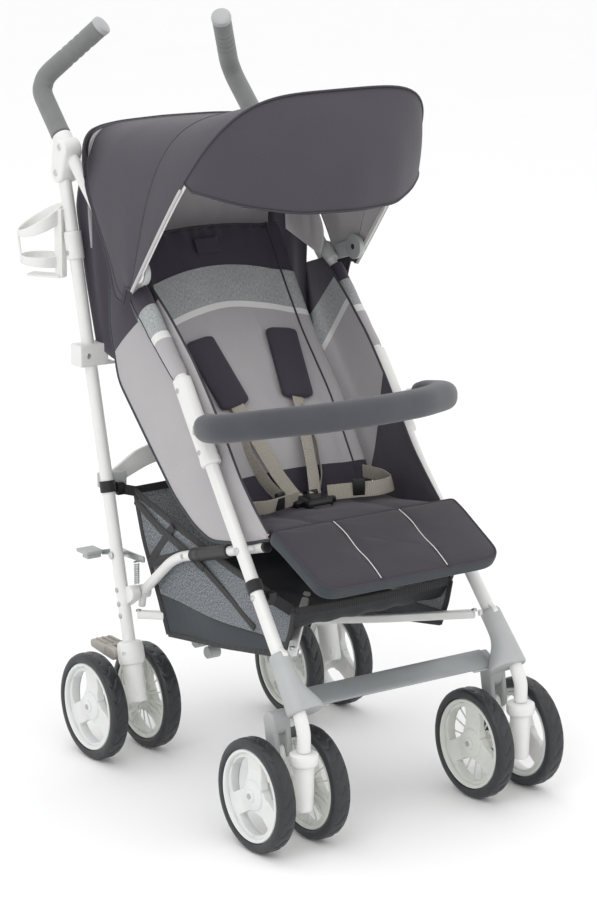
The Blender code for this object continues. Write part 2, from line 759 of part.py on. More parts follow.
def bar_ends(sign):
    """A lower cross bar starts at its own side's front leg and ends at the other side's link."""
    return (Vector((BAR_END_X * sign, *BAR_FRONT)), Vector((-BAR_END_X * sign, *BAR_REAR)))


def cross_bar(side, sign):
    front, rear = bar_ends(sign)
    middle = (front + rear) / 2 + Vector((0, 0, -BAR_LIFT * sign))
    path = [front, front.lerp(middle, 0.55) + Vector((0, 0, -BAR_LIFT * 0.3 * sign)), middle,
            rear.lerp(middle, 0.55) + Vector((0, 0, -BAR_LIFT * 0.3 * sign)), rear]
    piece = tube(path, BAR_R, 3)
    finish(piece, f"cross_bar_{side}", "white_steel", front)


def arch_arm(side, sign):
    """One half of the arch behind the seat, from its leg to the joint in the middle."""
    y = arm_y(side)
    pivot = (ARM_PIVOT_X * sign, ARM_PIVOT_Z)
    spine = [(pivot[0], pivot[1]), (0.1300 * sign, 0.4170), (0.1080 * sign, 0.4290),
             (0.0800 * sign, 0.4350), (0.0400 * sign, 0.4390), (0.0, ARM_TOP_Z)]
    heights = [0.0110, 0.0130, 0.0150, 0.0145, 0.0130, 0.0115]
    upper, lower = [], []
    for i, (x, z) in enumerate(spine):
        before, after = spine[max(i - 1, 0)], spine[min(i + 1, len(spine) - 1)]
        dx, dz = after[0] - before[0], after[1] - before[1]
        size = hypot(dx, dz)
        upper.append((x - dz / size * heights[i], z + dx / size * heights[i]))
        lower.append((x + dz / size * heights[i], z - dx / size * heights[i]))
    curve = bpy.data.curves.new("arm", "CURVE")
    curve.dimensions = "2D"
    curve.fill_mode = "BOTH"
    curve.extrude = ARM_T / 2
    spline = curve.splines.new("POLY")
    outline = upper + lower[::-1]
    spline.points.add(len(outline) - 1)
    for point, (x, z) in zip(spline.points, outline):
        point.co = (x, z, 0.0, 1.0)
    spline.use_cyclic_u = True
    frame = Matrix(((1, 0, 0, 0), (0, 0, -1, y), (0, 1, 0, 0), (0, 0, 0, 1)))
    piece = as_mesh(curve, frame)
    ends = [rod((x, y - ARM_T / 2, z), (x, y + ARM_T / 2, z), r, 14)
            for (x, z), r in ((spine[0], 0.0110), (spine[-1], 0.0115))]
    join(piece, *ends)
    cut(piece, rod((pivot[0], y - 0.02, pivot[1]), (pivot[0], y + 0.02, pivot[1]),
                   PIN_R + RUNNING, 10))
    finish(piece, f"arch_arm_{side}", "white_plastic", (pivot[0], y, pivot[1]))


# Fold lock on the right rear leg

LEVER_Z = 0.3020
LEVER_X = -(REAR_HALF_TRACK - 0.0164)
LEVER_T = 0.0030
SPRING_R = 0.0036
SPRING_WIRE = 0.0008
SPRING_TURNS = 6
SPRING_X = -(REAR_HALF_TRACK - 0.0095)
SPRING_TOP = 0.2970


def lever_pin(reach, extra):
    y = leg_at(LEVER_Z).y
    return rod((-REAR_HALF_TRACK - LEG_R - 0.002, y, LEVER_Z),
               (LEVER_X + LEVER_T / 2 + reach, y, LEVER_Z), 0.0024 + extra, 10)


def pedal_lever():
    y = leg_at(LEVER_Z).y
    bar = plate([(y - 0.0480, LEVER_Z - 0.0040), (y + 0.0200, LEVER_Z - 0.0075),
                 (y + 0.0700, LEVER_Z - 0.0190), (y + 0.0720, LEVER_Z - 0.0120),
                 (y + 0.0200, LEVER_Z + 0.0040), (y - 0.0480, LEVER_Z + 0.0050)],
                LEVER_X, LEVER_T)
    tread = block((LEVER_X - 0.0135, y + 0.0820, LEVER_Z - 0.0160), (0.0300, 0.0300, 0.0110), 0.002)
    hook = rod((LEVER_X, y - 0.0380, SPRING_TOP + 0.0019),
               (SPRING_X - 0.0050, y - 0.0380, SPRING_TOP + 0.0019), 0.0015, 8)
    join(bar, tread, lever_pin(0.0, 0.0), hook)
    finish(bar, "pedal_lever", "zinc_steel", (LEVER_X, y, LEVER_Z))


def pedal_spring():
    """A coil from the catch on the leg up to the lever, with straight ends."""
    x, y = SPRING_X, leg_at(LEVER_Z).y - 0.0380
    low, high = 0.2640, SPRING_TOP
    steps = 8 * SPRING_TURNS
    points = []
    for i in range(steps + 1):
        angle = 2 * pi * i / 8
        points.append((x + SPRING_R * cos(angle), y + SPRING_R * sin(angle),
                       lerp(low + 0.001, high - 0.001, i / steps)))
    piece = tube(points, SPRING_WIRE, 1)
    finish(piece, "pedal_spring", "zinc_steel", (x, y, high))


# Cup holder and clip on the right rear leg

CUP_OUT = 0.0295          # from the leg's middle out to the ring's
CUP_X, CUP_Y = -(REAR_HALF_TRACK + CUP_OUT), 0.4235
CUP_RING_R = 0.0330
CUP_WALL = 0.0035
CLIP_Z = 0.5900


def ring(z_low, z_high, radius, wall):
    return turned([(radius, z_high), (radius, z_low), (radius - wall, z_low),
                   (radius - wall, z_high)], (CUP_X, CUP_Y, 0), (0, 0, 1), 18)


def cup_holder():
    upper = ring(0.7660, 0.7800, CUP_RING_R, CUP_WALL)
    lower = ring(0.7150, 0.7270, CUP_RING_R - 0.002, CUP_WALL)
    outward = Vector((CUP_X + REAR_HALF_TRACK, CUP_Y - leg_at(0.75).y, 0)).normalized()
    centre = Vector((CUP_X, CUP_Y, 0))
    turn = Matrix.Rotation(atan2(outward.y, outward.x), 3, "Z")
    near = centre - outward * (CUP_RING_R - 0.0004)
    far = centre + outward * (CUP_RING_R - 0.0030)
    low = centre - outward * 0.0080
    spine = block((near.x, near.y, 0.7430), (0.0150, 0.0160, 0.0800), 0.001, turn)
    web = block((far.x, far.y, 0.7470), (0.0034, 0.0140, 0.0580), 0.0, turn)
    foot = block((low.x, low.y, 0.7060), (0.0520, 0.0120, 0.0040), 0.0, turn)
    join(upper, lower, spine, web, foot)
    leg = leg_at(0.7450)
    clamp = rod(sided(leg_at(0.7250), -1), sided(leg_at(0.7650), -1), 0.0130, 12)
    join(upper, clamp)
    cut(upper, rod(sided(leg_at(0.68), -1), sided(leg_at(0.81), -1), LEG_R + GAP, 12))
    finish(upper, "cup_holder", "white_plastic", sided(leg, -1))


def tube_clip():
    leg = leg_at(CLIP_Z)
    inner = -(leg.x - 0.0050)
    piece = block((inner, leg.y, CLIP_Z), (0.0560, 0.0300, 0.0320), 0.002)
    pocket = block((inner + 0.0240, leg.y, CLIP_Z), (0.0160, 0.0220, 0.0240))
    cut(piece, pocket, rod(sided(leg_at(CLIP_Z - 0.04), -1), sided(leg_at(CLIP_Z + 0.04), -1),
                           LEG_R + GAP, 12))
    finish(piece, "tube_clip", "white_plastic", sided(leg, -1))


# Bumper bar and foot strip

BAR_FOAM_R = 0.0205
BUMPER_HALF = [Vector((0.1840, 0.0120, 0.5450)), Vector((0.1900, -0.0300, 0.5520)),
               Vector((0.1500, -0.0900, 0.5660)), Vector((0.0800, -0.1270, 0.5720)),
               Vector((0.0, -0.1370, 0.5740))]
BUMPER_PIVOT = Vector((BUMPER_HALF[0].x + BAR_FOAM_R, BUMPER_HALF[0].y, BUMPER_HALF[0].z))
SOCKET_ROOT = main_at(0.5280)
SOCKET_BUTTON = Vector((0.1868, 0.0310, 0.5375))


def bumper_bar():
    right = [sided(p, -1) for p in reversed(BUMPER_HALF[:-1])]
    path = rounded(BUMPER_HALF + right, 0.07, 2)
    piece = tube(path, BAR_FOAM_R, 3)
    finish(piece, "bumper_bar", "bar_foam", BUMPER_PIVOT)


def foot_strip():
    piece = block(STRIP_AT, (0.3120, 0.0030, STRIP_WIDE), 0.0, STRIP_LEAN)
    finish(piece, "foot_strip", "grey_plastic")


# Seat

BITE = (0.0850, 0.4180)       # where the back meets the seat, the recline axis
CALF_AXIS = (-0.1060, 0.4030)
BACK_FACE = [(0.1000, 0.4400), (0.1300, 0.5000), (0.1500, 0.5310), (0.2200, 0.6130),
             (0.2620, 0.6720), (0.3080, 0.7400), (0.3240, 0.7720)]
BACK_T = 0.0260


def backrest():
    piece = pad(BACK_FACE, BACK_T, [BACK_HALF_W] * len(BACK_FACE), 0.25)
    finish(piece, "backrest", "back_cloth", (0, *BITE))


def seat_sling():
    seat = pad([(-0.0900, 0.4040), (-0.0600, 0.3980), (0.0000, 0.3880), (0.0500, 0.3900),
                (0.0900, 0.4000)], 0.0240, [SEAT_HALF_W + 0.004] * 5, 0.2)
    for sign in (-1, 1):
        wing = plate([(-0.0850, 0.4000), (0.0170, 0.3740), (0.0900, 0.3980), (0.1540, 0.4400),
                      (0.2700, 0.5780), (0.2860, 0.6400), (0.2100, 0.6860), (0.1300, 0.6000),
                      (0.0500, 0.4900), (-0.0200, 0.4180)], SEAT_HALF_W * sign, CLOTH)
        join(seat, wing)
    finish(seat, "seat_sling", "seat_cloth")


def calf_rest():
    piece = pad([(-0.1080, 0.4090), (-0.1280, 0.4020), (-0.1750, 0.3790), (-0.2100, 0.3620),
                 (-0.2240, 0.3540)], 0.0230, [CALF_HALF_W, CALF_HALF_W, 0.1580, 0.1550, 0.1530],
                0.15)
    finish(piece, "calf_rest", "calf_cloth", (0, *CALF_AXIS))


def basket():
    half = BASKET_HALF_W - CLOTH / 2
    tray = strip([(0.2790, 0.3860), (0.2555, 0.3200), (0.2180, 0.2600), (0.1850, 0.2430),
                  (-0.1080, 0.2770), (-0.1280, 0.3060)], CLOTH, half)
    for sign in (-1, 1):
        side = plate([(0.2805, 0.3895), (0.2568, 0.3200), (0.2080, 0.2430), (0.1780, 0.1990),
                      (-0.1060, 0.2390), (-0.1305, 0.3085), (0.0200, 0.3320)], half * sign, CLOTH)
        join(tray, side)
    finish(tray, "basket", "basket_mesh")


def harness_buckle():
    piece = block((0, 0.0200, 0.4110), (0.0440, 0.0480, 0.0140), 0.003)
    finish(piece, "harness_buckle", "black_plastic", (0, 0.0200, 0.4110))


# Canopy

CREST = [(-0.0450, 1.0030), (0.0300, 0.9820), (0.1100, 0.9630), (0.2000, 0.9460),
         (0.2800, 0.9340), (0.3600, 0.9220)]
VISOR_EDGE = [(0.0, -0.0900, 0.8440), (0.080, -0.0660, 0.8430), (0.140, -0.0230, 0.8520),
              (0.180, 0.0120, 0.8660), (0.195, 0.0420, 0.8720)]
VISOR_BULGE = 0.0180
ARCH_STEPS = 16
ARCH_LOW = 0.0500            # the cloth starts this far from the tip


def arch(crest, half_width, inset=0.0, low=ARCH_LOW, steps=ARCH_STEPS):
    """A squared arch over both sides, in the plane through the tips and a crest point."""
    dy, dz = crest[0] - CANOPY_TIP[0], crest[1] - CANOPY_TIP[1]
    reach = hypot(dy, dz)
    top = reach - inset
    power = 2 / CANOPY_SQUARENESS
    start = (low / top) ** (1 / power)
    first = atan2(start, (1 - start ** 2) ** 0.5)
    made = []
    for i in range(steps + 1):
        angle = lerp(first, pi - first, i / steps)
        c, s = cos(angle), sin(angle)
        x = -half_width * (abs(c) ** power) * (1 if c > 0 else -1)
        r = top * s ** power
        made.append((x, CANOPY_TIP[0] + dy / reach * r, CANOPY_TIP[1] + dz / reach * r))
    return made


def visor_row(bow_row, t):
    """Points from the bow's arch down to the visor's front edge, t from 0 to 1."""
    row = []
    for x, y, z in bow_row:
        ex = min(abs(x), VISOR_EDGE[-1][0])
        for a, b in zip(VISOR_EDGE, VISOR_EDGE[1:]):
            if a[0] <= ex <= b[0]:
                k = (ex - a[0]) / (b[0] - a[0])
                edge = Vector(a).lerp(Vector(b), k)
        edge.x = x
        bulge = VISOR_BULGE * sin(pi * t) * (1 - (x / CANOPY_HALF_W) ** 2)
        point = Vector((x, y, z)).lerp(edge, t)
        row.append((point.x, point.y - bulge, point.z))
    return row


def canopy_front():
    """The front cloth, over the bow and down to the visor's edge."""
    rows = [arch(c, CANOPY_HALF_W) for c in (CREST[2], CREST[1], CREST[0])]
    bow_row = rows[-1]
    knee = [i for i, p in enumerate(bow_row) if p[2] >= VISOR_EDGE[-1][2] - 0.002]
    panel = sheet(rows, HOOD_CLOTH)
    top = bow_row[knee[0]:knee[-1] + 1]
    visor = sheet([top] + [visor_row(top, t) for t in (0.33, 0.67, 1.0)], HOOD_CLOTH)
    join(panel, visor)
    finish(panel, "canopy_front", "canopy_cloth", (0, *CANOPY_HINGE))


REAR_EDGE = [(0.191, 0.240, 0.712), (0.190, 0.283, 0.787), (0.190, 0.313, 0.843),
             (0.190, 0.322, 0.880), (0.183, 0.330, 0.903), (0.160, 0.352, 0.914),
             (0.125, 0.376, 0.917), (0.080, 0.394, 0.918), (0.0, 0.405, 0.918)]


def canopy_rear():
    rows = [arch(c, CANOPY_HALF_W - CANOPY_NEST, CANOPY_NEST, 0.0640)
            for c in ((0.0900, 0.9670), *CREST[3:])]
    rows.append([(-x, y, z) for x, y, z in REAR_EDGE] + REAR_EDGE[-2::-1])
    finish(sheet(rows, HOOD_CLOTH), "canopy_rear", "canopy_cloth")


def canopy_bow():
    """A flat strip that follows the front arch just inside the cloth, with an eye at each end."""
    face = arch(CREST[0], BOW_SIDE, BOW_INSET)
    back = arch(CREST[0], BOW_SIDE - BOW_T, BOW_INSET + BOW_T)
    dy, dz = CREST[0][0] - CANOPY_TIP[0], CREST[0][1] - CANOPY_TIP[1]
    size = hypot(dy, dz)
    across = Vector((0, dz / size, -dy / size)) * (BOW_W / 2)
    rings = []
    for f, b in zip(face, back):
        f, b = Vector(f), Vector(b)
        rings.append([f - across, f + across, b + across, b - across])
    bow = loft(rings)
    for sign in (-1, 1):
        eye = rod(((BOW_SIDE - BOW_T) * sign, *CANOPY_HINGE), (BOW_SIDE * sign, *CANOPY_HINGE),
                  0.0150, 14)
        join(bow, eye)
    finish(bow, "canopy_bow", "white_plastic", (0, *CANOPY_HINGE))


def centre_on_box():
    """Moves everything along Y so that the whole box is centred over the origin."""
    bpy.context.view_layer.update()
    pieces = list(PARTS.objects)
    reach = [(piece.matrix_world @ v.co).y for piece in pieces for v in piece.data.vertices]
    shift = -(min(reach) + max(reach)) / 2
    for piece in pieces:
        piece.location.y += shift
    return shift


def build():
    for side, sign in SIDES:
        main_tube(side, sign)
        handle_grip(side, sign)
        knuckle(side, sign)
        armrest_sleeve(side, sign)
        bar_button(side, sign)
        foot_bracket(side, sign)
        canopy_joint(side, sign)
        caster_fork(side, sign)
        swivel_lock(side, sign)
        wheel_pair("front", side, sign, FRONT_AXLE_Y, FRONT_HALF_TRACK, FRONT_PAIR)
        rear_leg(side, sign)
        rear_housing(side, sign)
        brake_pedal(side, sign)
        wheel_pair("rear", side, sign, REAR_AXLE_Y, REAR_HALF_TRACK, REAR_PAIR)
        seat_link(side, sign)
        cross_bar(side, sign)
        arch_arm(side, sign)
    pedal_lever()
    pedal_spring()
    cup_holder()
    tube_clip()
    bumper_bar()
    foot_strip()
    seat_sling()
    backrest()
    calf_rest()
    basket()
    harness_buckle()
    canopy_front()
    canopy_rear()
    canopy_bow()
    centre_on_box()


build()
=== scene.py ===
import math

import bpy
import numpy as np
from mathutils import Matrix


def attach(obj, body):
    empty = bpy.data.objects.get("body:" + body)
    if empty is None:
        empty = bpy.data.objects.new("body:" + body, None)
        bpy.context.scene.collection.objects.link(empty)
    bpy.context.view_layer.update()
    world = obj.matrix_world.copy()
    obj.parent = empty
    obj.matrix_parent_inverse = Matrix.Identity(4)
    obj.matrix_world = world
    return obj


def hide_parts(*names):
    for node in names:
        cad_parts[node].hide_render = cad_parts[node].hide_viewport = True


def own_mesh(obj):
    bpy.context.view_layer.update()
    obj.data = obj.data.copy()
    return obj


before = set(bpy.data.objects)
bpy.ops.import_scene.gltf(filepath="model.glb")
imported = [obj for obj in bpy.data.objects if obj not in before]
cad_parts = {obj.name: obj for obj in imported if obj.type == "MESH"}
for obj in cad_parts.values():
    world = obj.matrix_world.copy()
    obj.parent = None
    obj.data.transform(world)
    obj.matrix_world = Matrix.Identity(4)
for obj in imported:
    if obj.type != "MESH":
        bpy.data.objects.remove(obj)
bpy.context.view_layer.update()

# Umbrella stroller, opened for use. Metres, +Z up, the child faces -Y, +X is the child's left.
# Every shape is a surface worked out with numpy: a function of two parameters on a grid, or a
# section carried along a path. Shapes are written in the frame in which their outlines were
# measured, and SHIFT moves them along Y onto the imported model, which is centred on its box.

SHIFT = np.array((0.0, -0.11107390, 0.0))
SIDES = (("right", -1.0), ("left", 1.0))
SCENE = bpy.context.scene


# Surfaces


def unit(vectors):
    return vectors / np.maximum(np.linalg.norm(vectors, axis=-1, keepdims=True), 1e-12)


def turns(count):
    """Angles spread evenly round a full turn."""
    return np.linspace(0, 2 * np.pi, count, endpoint=False)


def lengths(points):
    """How far along a broken line each of its points lies."""
    return np.concatenate(([0.0], np.cumsum(np.linalg.norm(np.diff(points, axis=0), axis=1))))


def smoothstep(low, high, value):
    """0 below low, 1 above high, and 3t^2 - 2t^3 between them."""
    t = np.clip((value - low) / (high - low), 0.0, 1.0)
    return t * t * (3.0 - 2.0 * t)


def eased(corners, ease=0.04, step=0.004, closed=False):
    """A path through corners. Each of its points is the broken line's average over a window as
    long as ease, so straight runs stay straight and every corner becomes an arc. Ease may be
    one length, or one for each corner, and changes evenly from one corner to the next."""
    c = np.asarray(corners, float)
    ring = np.vstack((c, c[:1])) if closed else c
    gaps = np.linalg.norm(np.diff(ring, axis=0), axis=1)
    s = np.concatenate(([0.0], np.cumsum(gaps)))
    count = max(int(round(s[-1] / step)), 2)
    t = np.linspace(0.0, s[-1], count + (0 if closed else 1), endpoint=not closed)
    window = np.hanning(21)[1:-1]
    eases = np.broadcast_to(ease, (len(c),))
    if closed:
        half = np.interp(t, s[:-1], eases / 2, period=s[-1])
        look = t[:, None] + half[:, None] * np.linspace(-1, 1, len(window))
        columns = [np.interp(look, s[:-1], c[:, k], period=s[-1]) for k in range(c.shape[1])]
    else:
        reach = float(np.max(eases)) + 1e-6
        start = c[0] - (c[1] - c[0]) / gaps[0] * reach
        stop = c[-1] + (c[-1] - c[-2]) / gaps[-1] * reach
        line = np.vstack((start, c, stop))
        s_line = np.concatenate(([-reach], s, [s[-1] + reach]))
        half = np.interp(t, s, eases / 2)
        look = t[:, None] + half[:, None] * np.linspace(-1, 1, len(window))
        columns = [np.interp(look, s_line, line[:, k]) for k in range(c.shape[1])]
    return np.stack([column @ window / window.sum() for column in columns], axis=1)


def through(rows, count):
    """Rows of points blended by a Catmull-Rom curve: count rows that pass through all of them."""
    rows = np.asarray(rows, float)
    ends = (2 * rows[:1] - rows[1:2], 2 * rows[-1:] - rows[-2:-1])
    p = np.concatenate((ends[0], rows, ends[1]))
    t = np.linspace(0, len(rows) - 1, count)
    i = np.minimum(t.astype(int), len(rows) - 2)
    f = (t - i).reshape((-1,) + (1,) * (rows.ndim - 1))
    a, b, c, d = p[i], p[i + 1], p[i + 2], p[i + 3]
    return 0.5 * (2 * b + (c - a) * f + (2 * a - 5 * b + 4 * c - d) * f ** 2
                  + (3 * b - a - 3 * c + d) * f ** 3)


def evenly(points, count):
    """A broken line's points spread again at even distances."""
    points = np.asarray(points, float)
    s = lengths(points)
    t = np.linspace(0, s[-1], count)
    return np.stack([np.interp(t, s, points[:, k]) for k in range(points.shape[1])], axis=1)


def carried(path, section, up=(0, 0, 1), scale=1.0):
    """A section of (side, out) points carried along a path. Side runs across the path and up,
    out across the path and side. Scale makes the section larger or smaller along the way."""
    path = np.asarray(path, float)
    along = unit(np.gradient(path, axis=0))
    side = unit(np.cross(along, np.broadcast_to(np.asarray(up, float), along.shape)))
    out = np.cross(side, along)
    section = np.asarray(section, float)
    if section.ndim == 2:
        section = section[None] * np.broadcast_to(scale, (len(path),)).reshape(-1, 1, 1)
    return path[:, None] + section[..., :1] * side[:, None] + section[..., 1:] * out[:, None]


def circle(radius, sides=28):
    a = turns(sides)
    return radius * np.stack((np.cos(a), np.sin(a)), axis=1)


def squircle(half_w, half_h, power=5.0, sides=40):
    """|x / w|^power + |y / h|^power = 1: a rectangle with soft corners."""
    a = turns(sides)
    c, s = np.cos(a), np.sin(a)
    return np.stack((half_w * np.sign(c) * np.abs(c) ** (2 / power),
                     half_h * np.sign(s) * np.abs(s) ** (2 / power)), axis=1)


def belt(a, ra, b, rb, sides=48):
    """The outline of a belt round two circles: the farthest point of either, in each direction."""
    angle = turns(sides)
    way = np.stack((np.cos(angle), np.sin(angle)), axis=1)
    a, b = np.asarray(a, float), np.asarray(b, float)
    first = (way @ a + ra) >= (way @ b + rb)
    return np.where(first[:, None], a + ra * way, b + rb * way)


def lattice(grid, wrap=(False, True), capped=False, finish=None, towards=None):
    """Quads over grid[u, v], joined round in either direction and capped at its two end rings.
    Each corner keeps its distance in metres along both directions, which carries the weave.
    A closed shell is turned so that its volume is positive, an open one so that it faces towards."""
    grid = np.asarray(grid, float)
    n, m = grid.shape[:2]
    rows, cols = n - (0 if wrap[0] else 1), m - (0 if wrap[1] else 1)
    i, j = np.meshgrid(np.arange(rows), np.arange(cols), indexing="ij")
    quads = np.stack([((i + a) % n * m + (j + b) % m).ravel()
                      for a, b in ((0, 0), (1, 0), (1, 1), (0, 1))], axis=1)
    du = np.linalg.norm(np.roll(grid, -1, 0) - grid, axis=2).mean(axis=1)
    dv = np.linalg.norm(np.roll(grid, -1, 1) - grid, axis=2).mean(axis=0)
    u = np.concatenate(([0.0], np.cumsum(du)))
    v = np.concatenate(([0.0], np.cumsum(dv)))
    uv = np.stack([np.stack((v[j + b], u[i + a]), axis=-1).reshape(-1, 2)
                   for a, b in ((0, 0), (1, 0), (1, 1), (0, 1))], axis=1)
    verts = grid.reshape(-1, 3)
    caps = [np.arange(m), (n - 1) * m + np.arange(m)[::-1]] if capped else []
    corner = verts[quads]
    if towards is None:
        centre = verts.mean(axis=0)
        c = corner - centre
        volume = (np.einsum("ij,ij->i", c[:, 0], np.cross(c[:, 1], c[:, 2]))
                  + np.einsum("ij,ij->i", c[:, 0], np.cross(c[:, 2], c[:, 3]))).sum()
        for cap in caps:
            k = verts[cap] - centre
            volume += np.einsum("ij,ij->i", np.broadcast_to(k[0], k[1:-1].shape),
                                np.cross(k[1:-1], k[2:])).sum()
        wrong = volume < 0
    else:
        faced = np.cross(corner[:, 2] - corner[:, 0], corner[:, 3] - corner[:, 1])
        wrong = (faced @ np.asarray(towards, float)).sum() < 0
    if wrong:
        quads, uv, caps = quads[:, ::-1], uv[:, ::-1], [cap[::-1] for cap in caps]
    return {"verts": verts, "quads": quads, "uv": uv, "caps": caps, "finish": finish}


def open_sheet(grid, towards):
    """A grid whose four borders stay open, turned so that it faces towards."""
    return lattice(grid, wrap=(False, False), towards=towards)


def tube(path, radius, up=(1, 0, 0), sides=28, finish=None, edge=0.0008):
    """A round bar along a path, its two ends rounded off over the length edge."""
    path = np.asarray(path, float)
    s = lengths(path)
    radii = np.broadcast_to(radius, (len(path),)).astype(float)
    t = np.unique(np.concatenate((s, edge * np.array((0.0, 0.3, 1.0)),
                                  s[-1] - edge * np.array((0.0, 0.3, 1.0)))))
    path = np.stack([np.interp(t, s, path[:, k]) for k in range(3)], axis=1)
    radii = np.interp(t, s, radii)
    near = np.clip(np.minimum(t, s[-1] - t) / edge, 0.0, 1.0)
    radii = radii - edge * (1.0 - np.sqrt(1.0 - (1.0 - near) ** 2))
    return lattice(carried(path, circle(1.0, sides), up, radii), capped=True, finish=finish)


def rod(a, b, radius, sides=28, finish=None, edge=0.0008):
    """A straight round bar from a to b."""
    a, b = np.asarray(a, float), np.asarray(b, float)
    way = unit(b - a)
    up = (0, 0, 1) if abs(way[2]) < 0.9 else (1, 0, 0)
    return tube(np.linspace(a, b, 3), radius, up, sides, finish, edge)


def turned(profile, centre, axis, sides=64, finish=None, ring=False, ripple=None):
    """A profile of (radius, height) points spun about an axis: a closed ring, or a solid whose
    two ends are capped. Ripple adds to the radius at each (height, angle)."""
    profile = np.asarray(profile, float)
    axis = unit(np.asarray(axis, float))
    first = unit(np.cross(axis, (0.0, 0.0, 1.0) if abs(axis[2]) < 0.9 else (1.0, 0.0, 0.0)))
    second = np.cross(axis, first)
    a = turns(sides)
    r = profile[:, :1] + (0.0 if ripple is None else ripple(profile[:, 1:], a[None, :], profile[:, :1]))
    grid = (np.asarray(centre, float) + profile[:, 1, None, None] * axis
            + (r * np.cos(a))[..., None] * first + (r * np.sin(a))[..., None] * second)
    return lattice(grid, wrap=(ring, True), capped=not ring, finish=finish)


def slab(outline, middle, thickness, edge=0.0012, axis=0, finish=None):
    """An outline that stands across an axis, with its rim rounded: every ring of it is the
    outline drawn in by edge (1 - cos a) and moved along the axis by edge sin a."""
    o = np.asarray(outline, float)
    ahead = unit(np.roll(o, -1, 0) - np.roll(o, 1, 0))
    inward = np.stack((-ahead[:, 1], ahead[:, 0]), axis=1)
    area = np.sum(o[:, 0] * np.roll(o[:, 1], -1) - np.roll(o[:, 0], -1) * o[:, 1])
    inward *= 1.0 if area > 0 else -1.0
    flat = thickness / 2 - edge
    a = np.concatenate((np.linspace(-np.pi / 2, 0, 4), np.linspace(0, np.pi / 2, 4)))
    rise = np.concatenate((np.full(4, -flat), np.full(4, flat))) + edge * np.sin(a)
    flatwise = o[None] + inward[None] * (edge * (1 - np.cos(a)))[:, None, None]
    grid = np.empty(flatwise.shape[:2] + (3,))
    others = [k for k in range(3) if k != axis]
    grid[..., axis] = (middle + rise)[:, None]
    grid[..., others[0]], grid[..., others[1]] = flatwise[..., 0], flatwise[..., 1]
    return lattice(grid, capped=True, finish=finish)


def brick(centre, size, corner=0.002, edge=0.0010, turn=None, finish=None):
    """A moulded block: a soft-cornered rectangle across Z with rounded rims, turned by a matrix."""
    x, y, z = np.asarray(size, float) / 2
    shape = slab(eased([(-x, -y), (x, -y), (x, y), (-x, y)], corner, min(corner / 2, 0.002), True),
                 0.0, 2 * z, edge, axis=2, finish=finish)
    shape["verts"] = (shape["verts"] @ (np.eye(3) if turn is None else np.asarray(turn).T)
                      + np.asarray(centre, float))
    return shape


def about(axis, degrees):
    """The matrix of a turn about X, Y or Z."""
    c, s = math.cos(math.radians(degrees)), math.sin(math.radians(degrees))
    a, b = [k for k in range(3) if k != axis]
    made = np.eye(3)
    sign = -1.0 if axis == 1 else 1.0
    made[a, a] = made[b, b] = c
    made[a, b], made[b, a] = -s * sign, s * sign
    return made


def build(name, shells, finish, body, stands_for=(), sharp=38.0):
    """One piece from its shells, in place on the model, riding on a body of it."""
    shells = [shells] if isinstance(shells, dict) else list(shells)
    finishes, verts, faces, uvs, which, offset = [finish], [], [], [], [], 0
    for shell in shells:
        own = shell["finish"] or finish
        if own not in finishes:
            finishes.append(own)
        verts.append(shell["verts"])
        faces += (shell["quads"] + offset).tolist() + [(c + offset).tolist() for c in shell["caps"]]
        uvs.append(shell["uv"].reshape(-1, 2))
        uvs += [shell["verts"][cap][:, (0, 2)] for cap in shell["caps"]]
        index = np.full(len(shell["quads"]) + len(shell["caps"]), finishes.index(own))
        for other, where in shell.get("zones", ()):
            if other not in finishes:
                finishes.append(other)
            index[:len(shell["quads"])][where] = finishes.index(other)
        which += index.tolist()
        offset += len(shell["verts"])
    mesh = bpy.data.meshes.new(name)
    mesh.from_pydata((np.concatenate(verts) + SHIFT).tolist(), [], faces)
    layer = mesh.uv_layers.new(name="cloth")
    layer.data.foreach_set("uv", np.concatenate(uvs).astype(np.float32).ravel())
    for own in finishes:
        mesh.materials.append(own)
    mesh.polygons.foreach_set("material_index", np.array(which, np.int32))
    mesh.shade_smooth()
    mesh.set_sharp_from_angle(angle=math.radians(sharp))
    made = bpy.data.objects.new(name, mesh)
    SCENE.collection.objects.link(made)
    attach(made, body)
    if stands_for:
        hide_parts(*([stands_for] if isinstance(stands_for, str) else stands_for))
    return made


def zoned(shell, *zones):
    """Gives parts of a shell other finishes: each zone is a finish and where it goes, true or
    false for every quad of the grid, row by row."""
    shell["zones"] = [(finish, np.asarray(where, bool).ravel()) for finish, where in zones]
    return shell


def thick(piece, thickness, offset=0.0, inside=0):
    """Gives a sheet its thickness. Inside counts the slots from the outer finish to the lining."""
    wall = piece.modifiers.new("Thickness", "SOLIDIFY")
    wall.thickness = thickness
    wall.offset = offset
    wall.material_offset = inside
    return piece


def cloth(piece, grid):
    """Gives the sheet back as it is; the grid is not used."""
    grid = np.asarray(grid, float)
    return piece


def coons(bottom, top, left, right):
    """A patch over four border lines: the two ruled surfaces added, less the one that is linear
    between the four corners. Left and right run from the bottom line to the top one."""
    b, t, l, r = (np.asarray(line, float) for line in (bottom, top, left, right))
    u = np.linspace(0, 1, len(b))[None, :, None]
    v = np.linspace(0, 1, len(l))[:, None, None]
    ruled = (1 - v) * b[None] + v * t[None] + (1 - u) * l[:, None] + u * r[:, None]
    return ruled - ((1 - u) * (1 - v) * b[0] + u * (1 - v) * b[-1] + (1 - u) * v * t[0] + u * v * t[-1])


def ribbon(path, width, thickness, up, finish=None):
    """Flat webbing along a path: its width runs across the path and up."""
    section = squircle(width / 2, thickness / 2, 4.0, 20)
    return lattice(carried(path, section, up), capped=True, finish=finish)


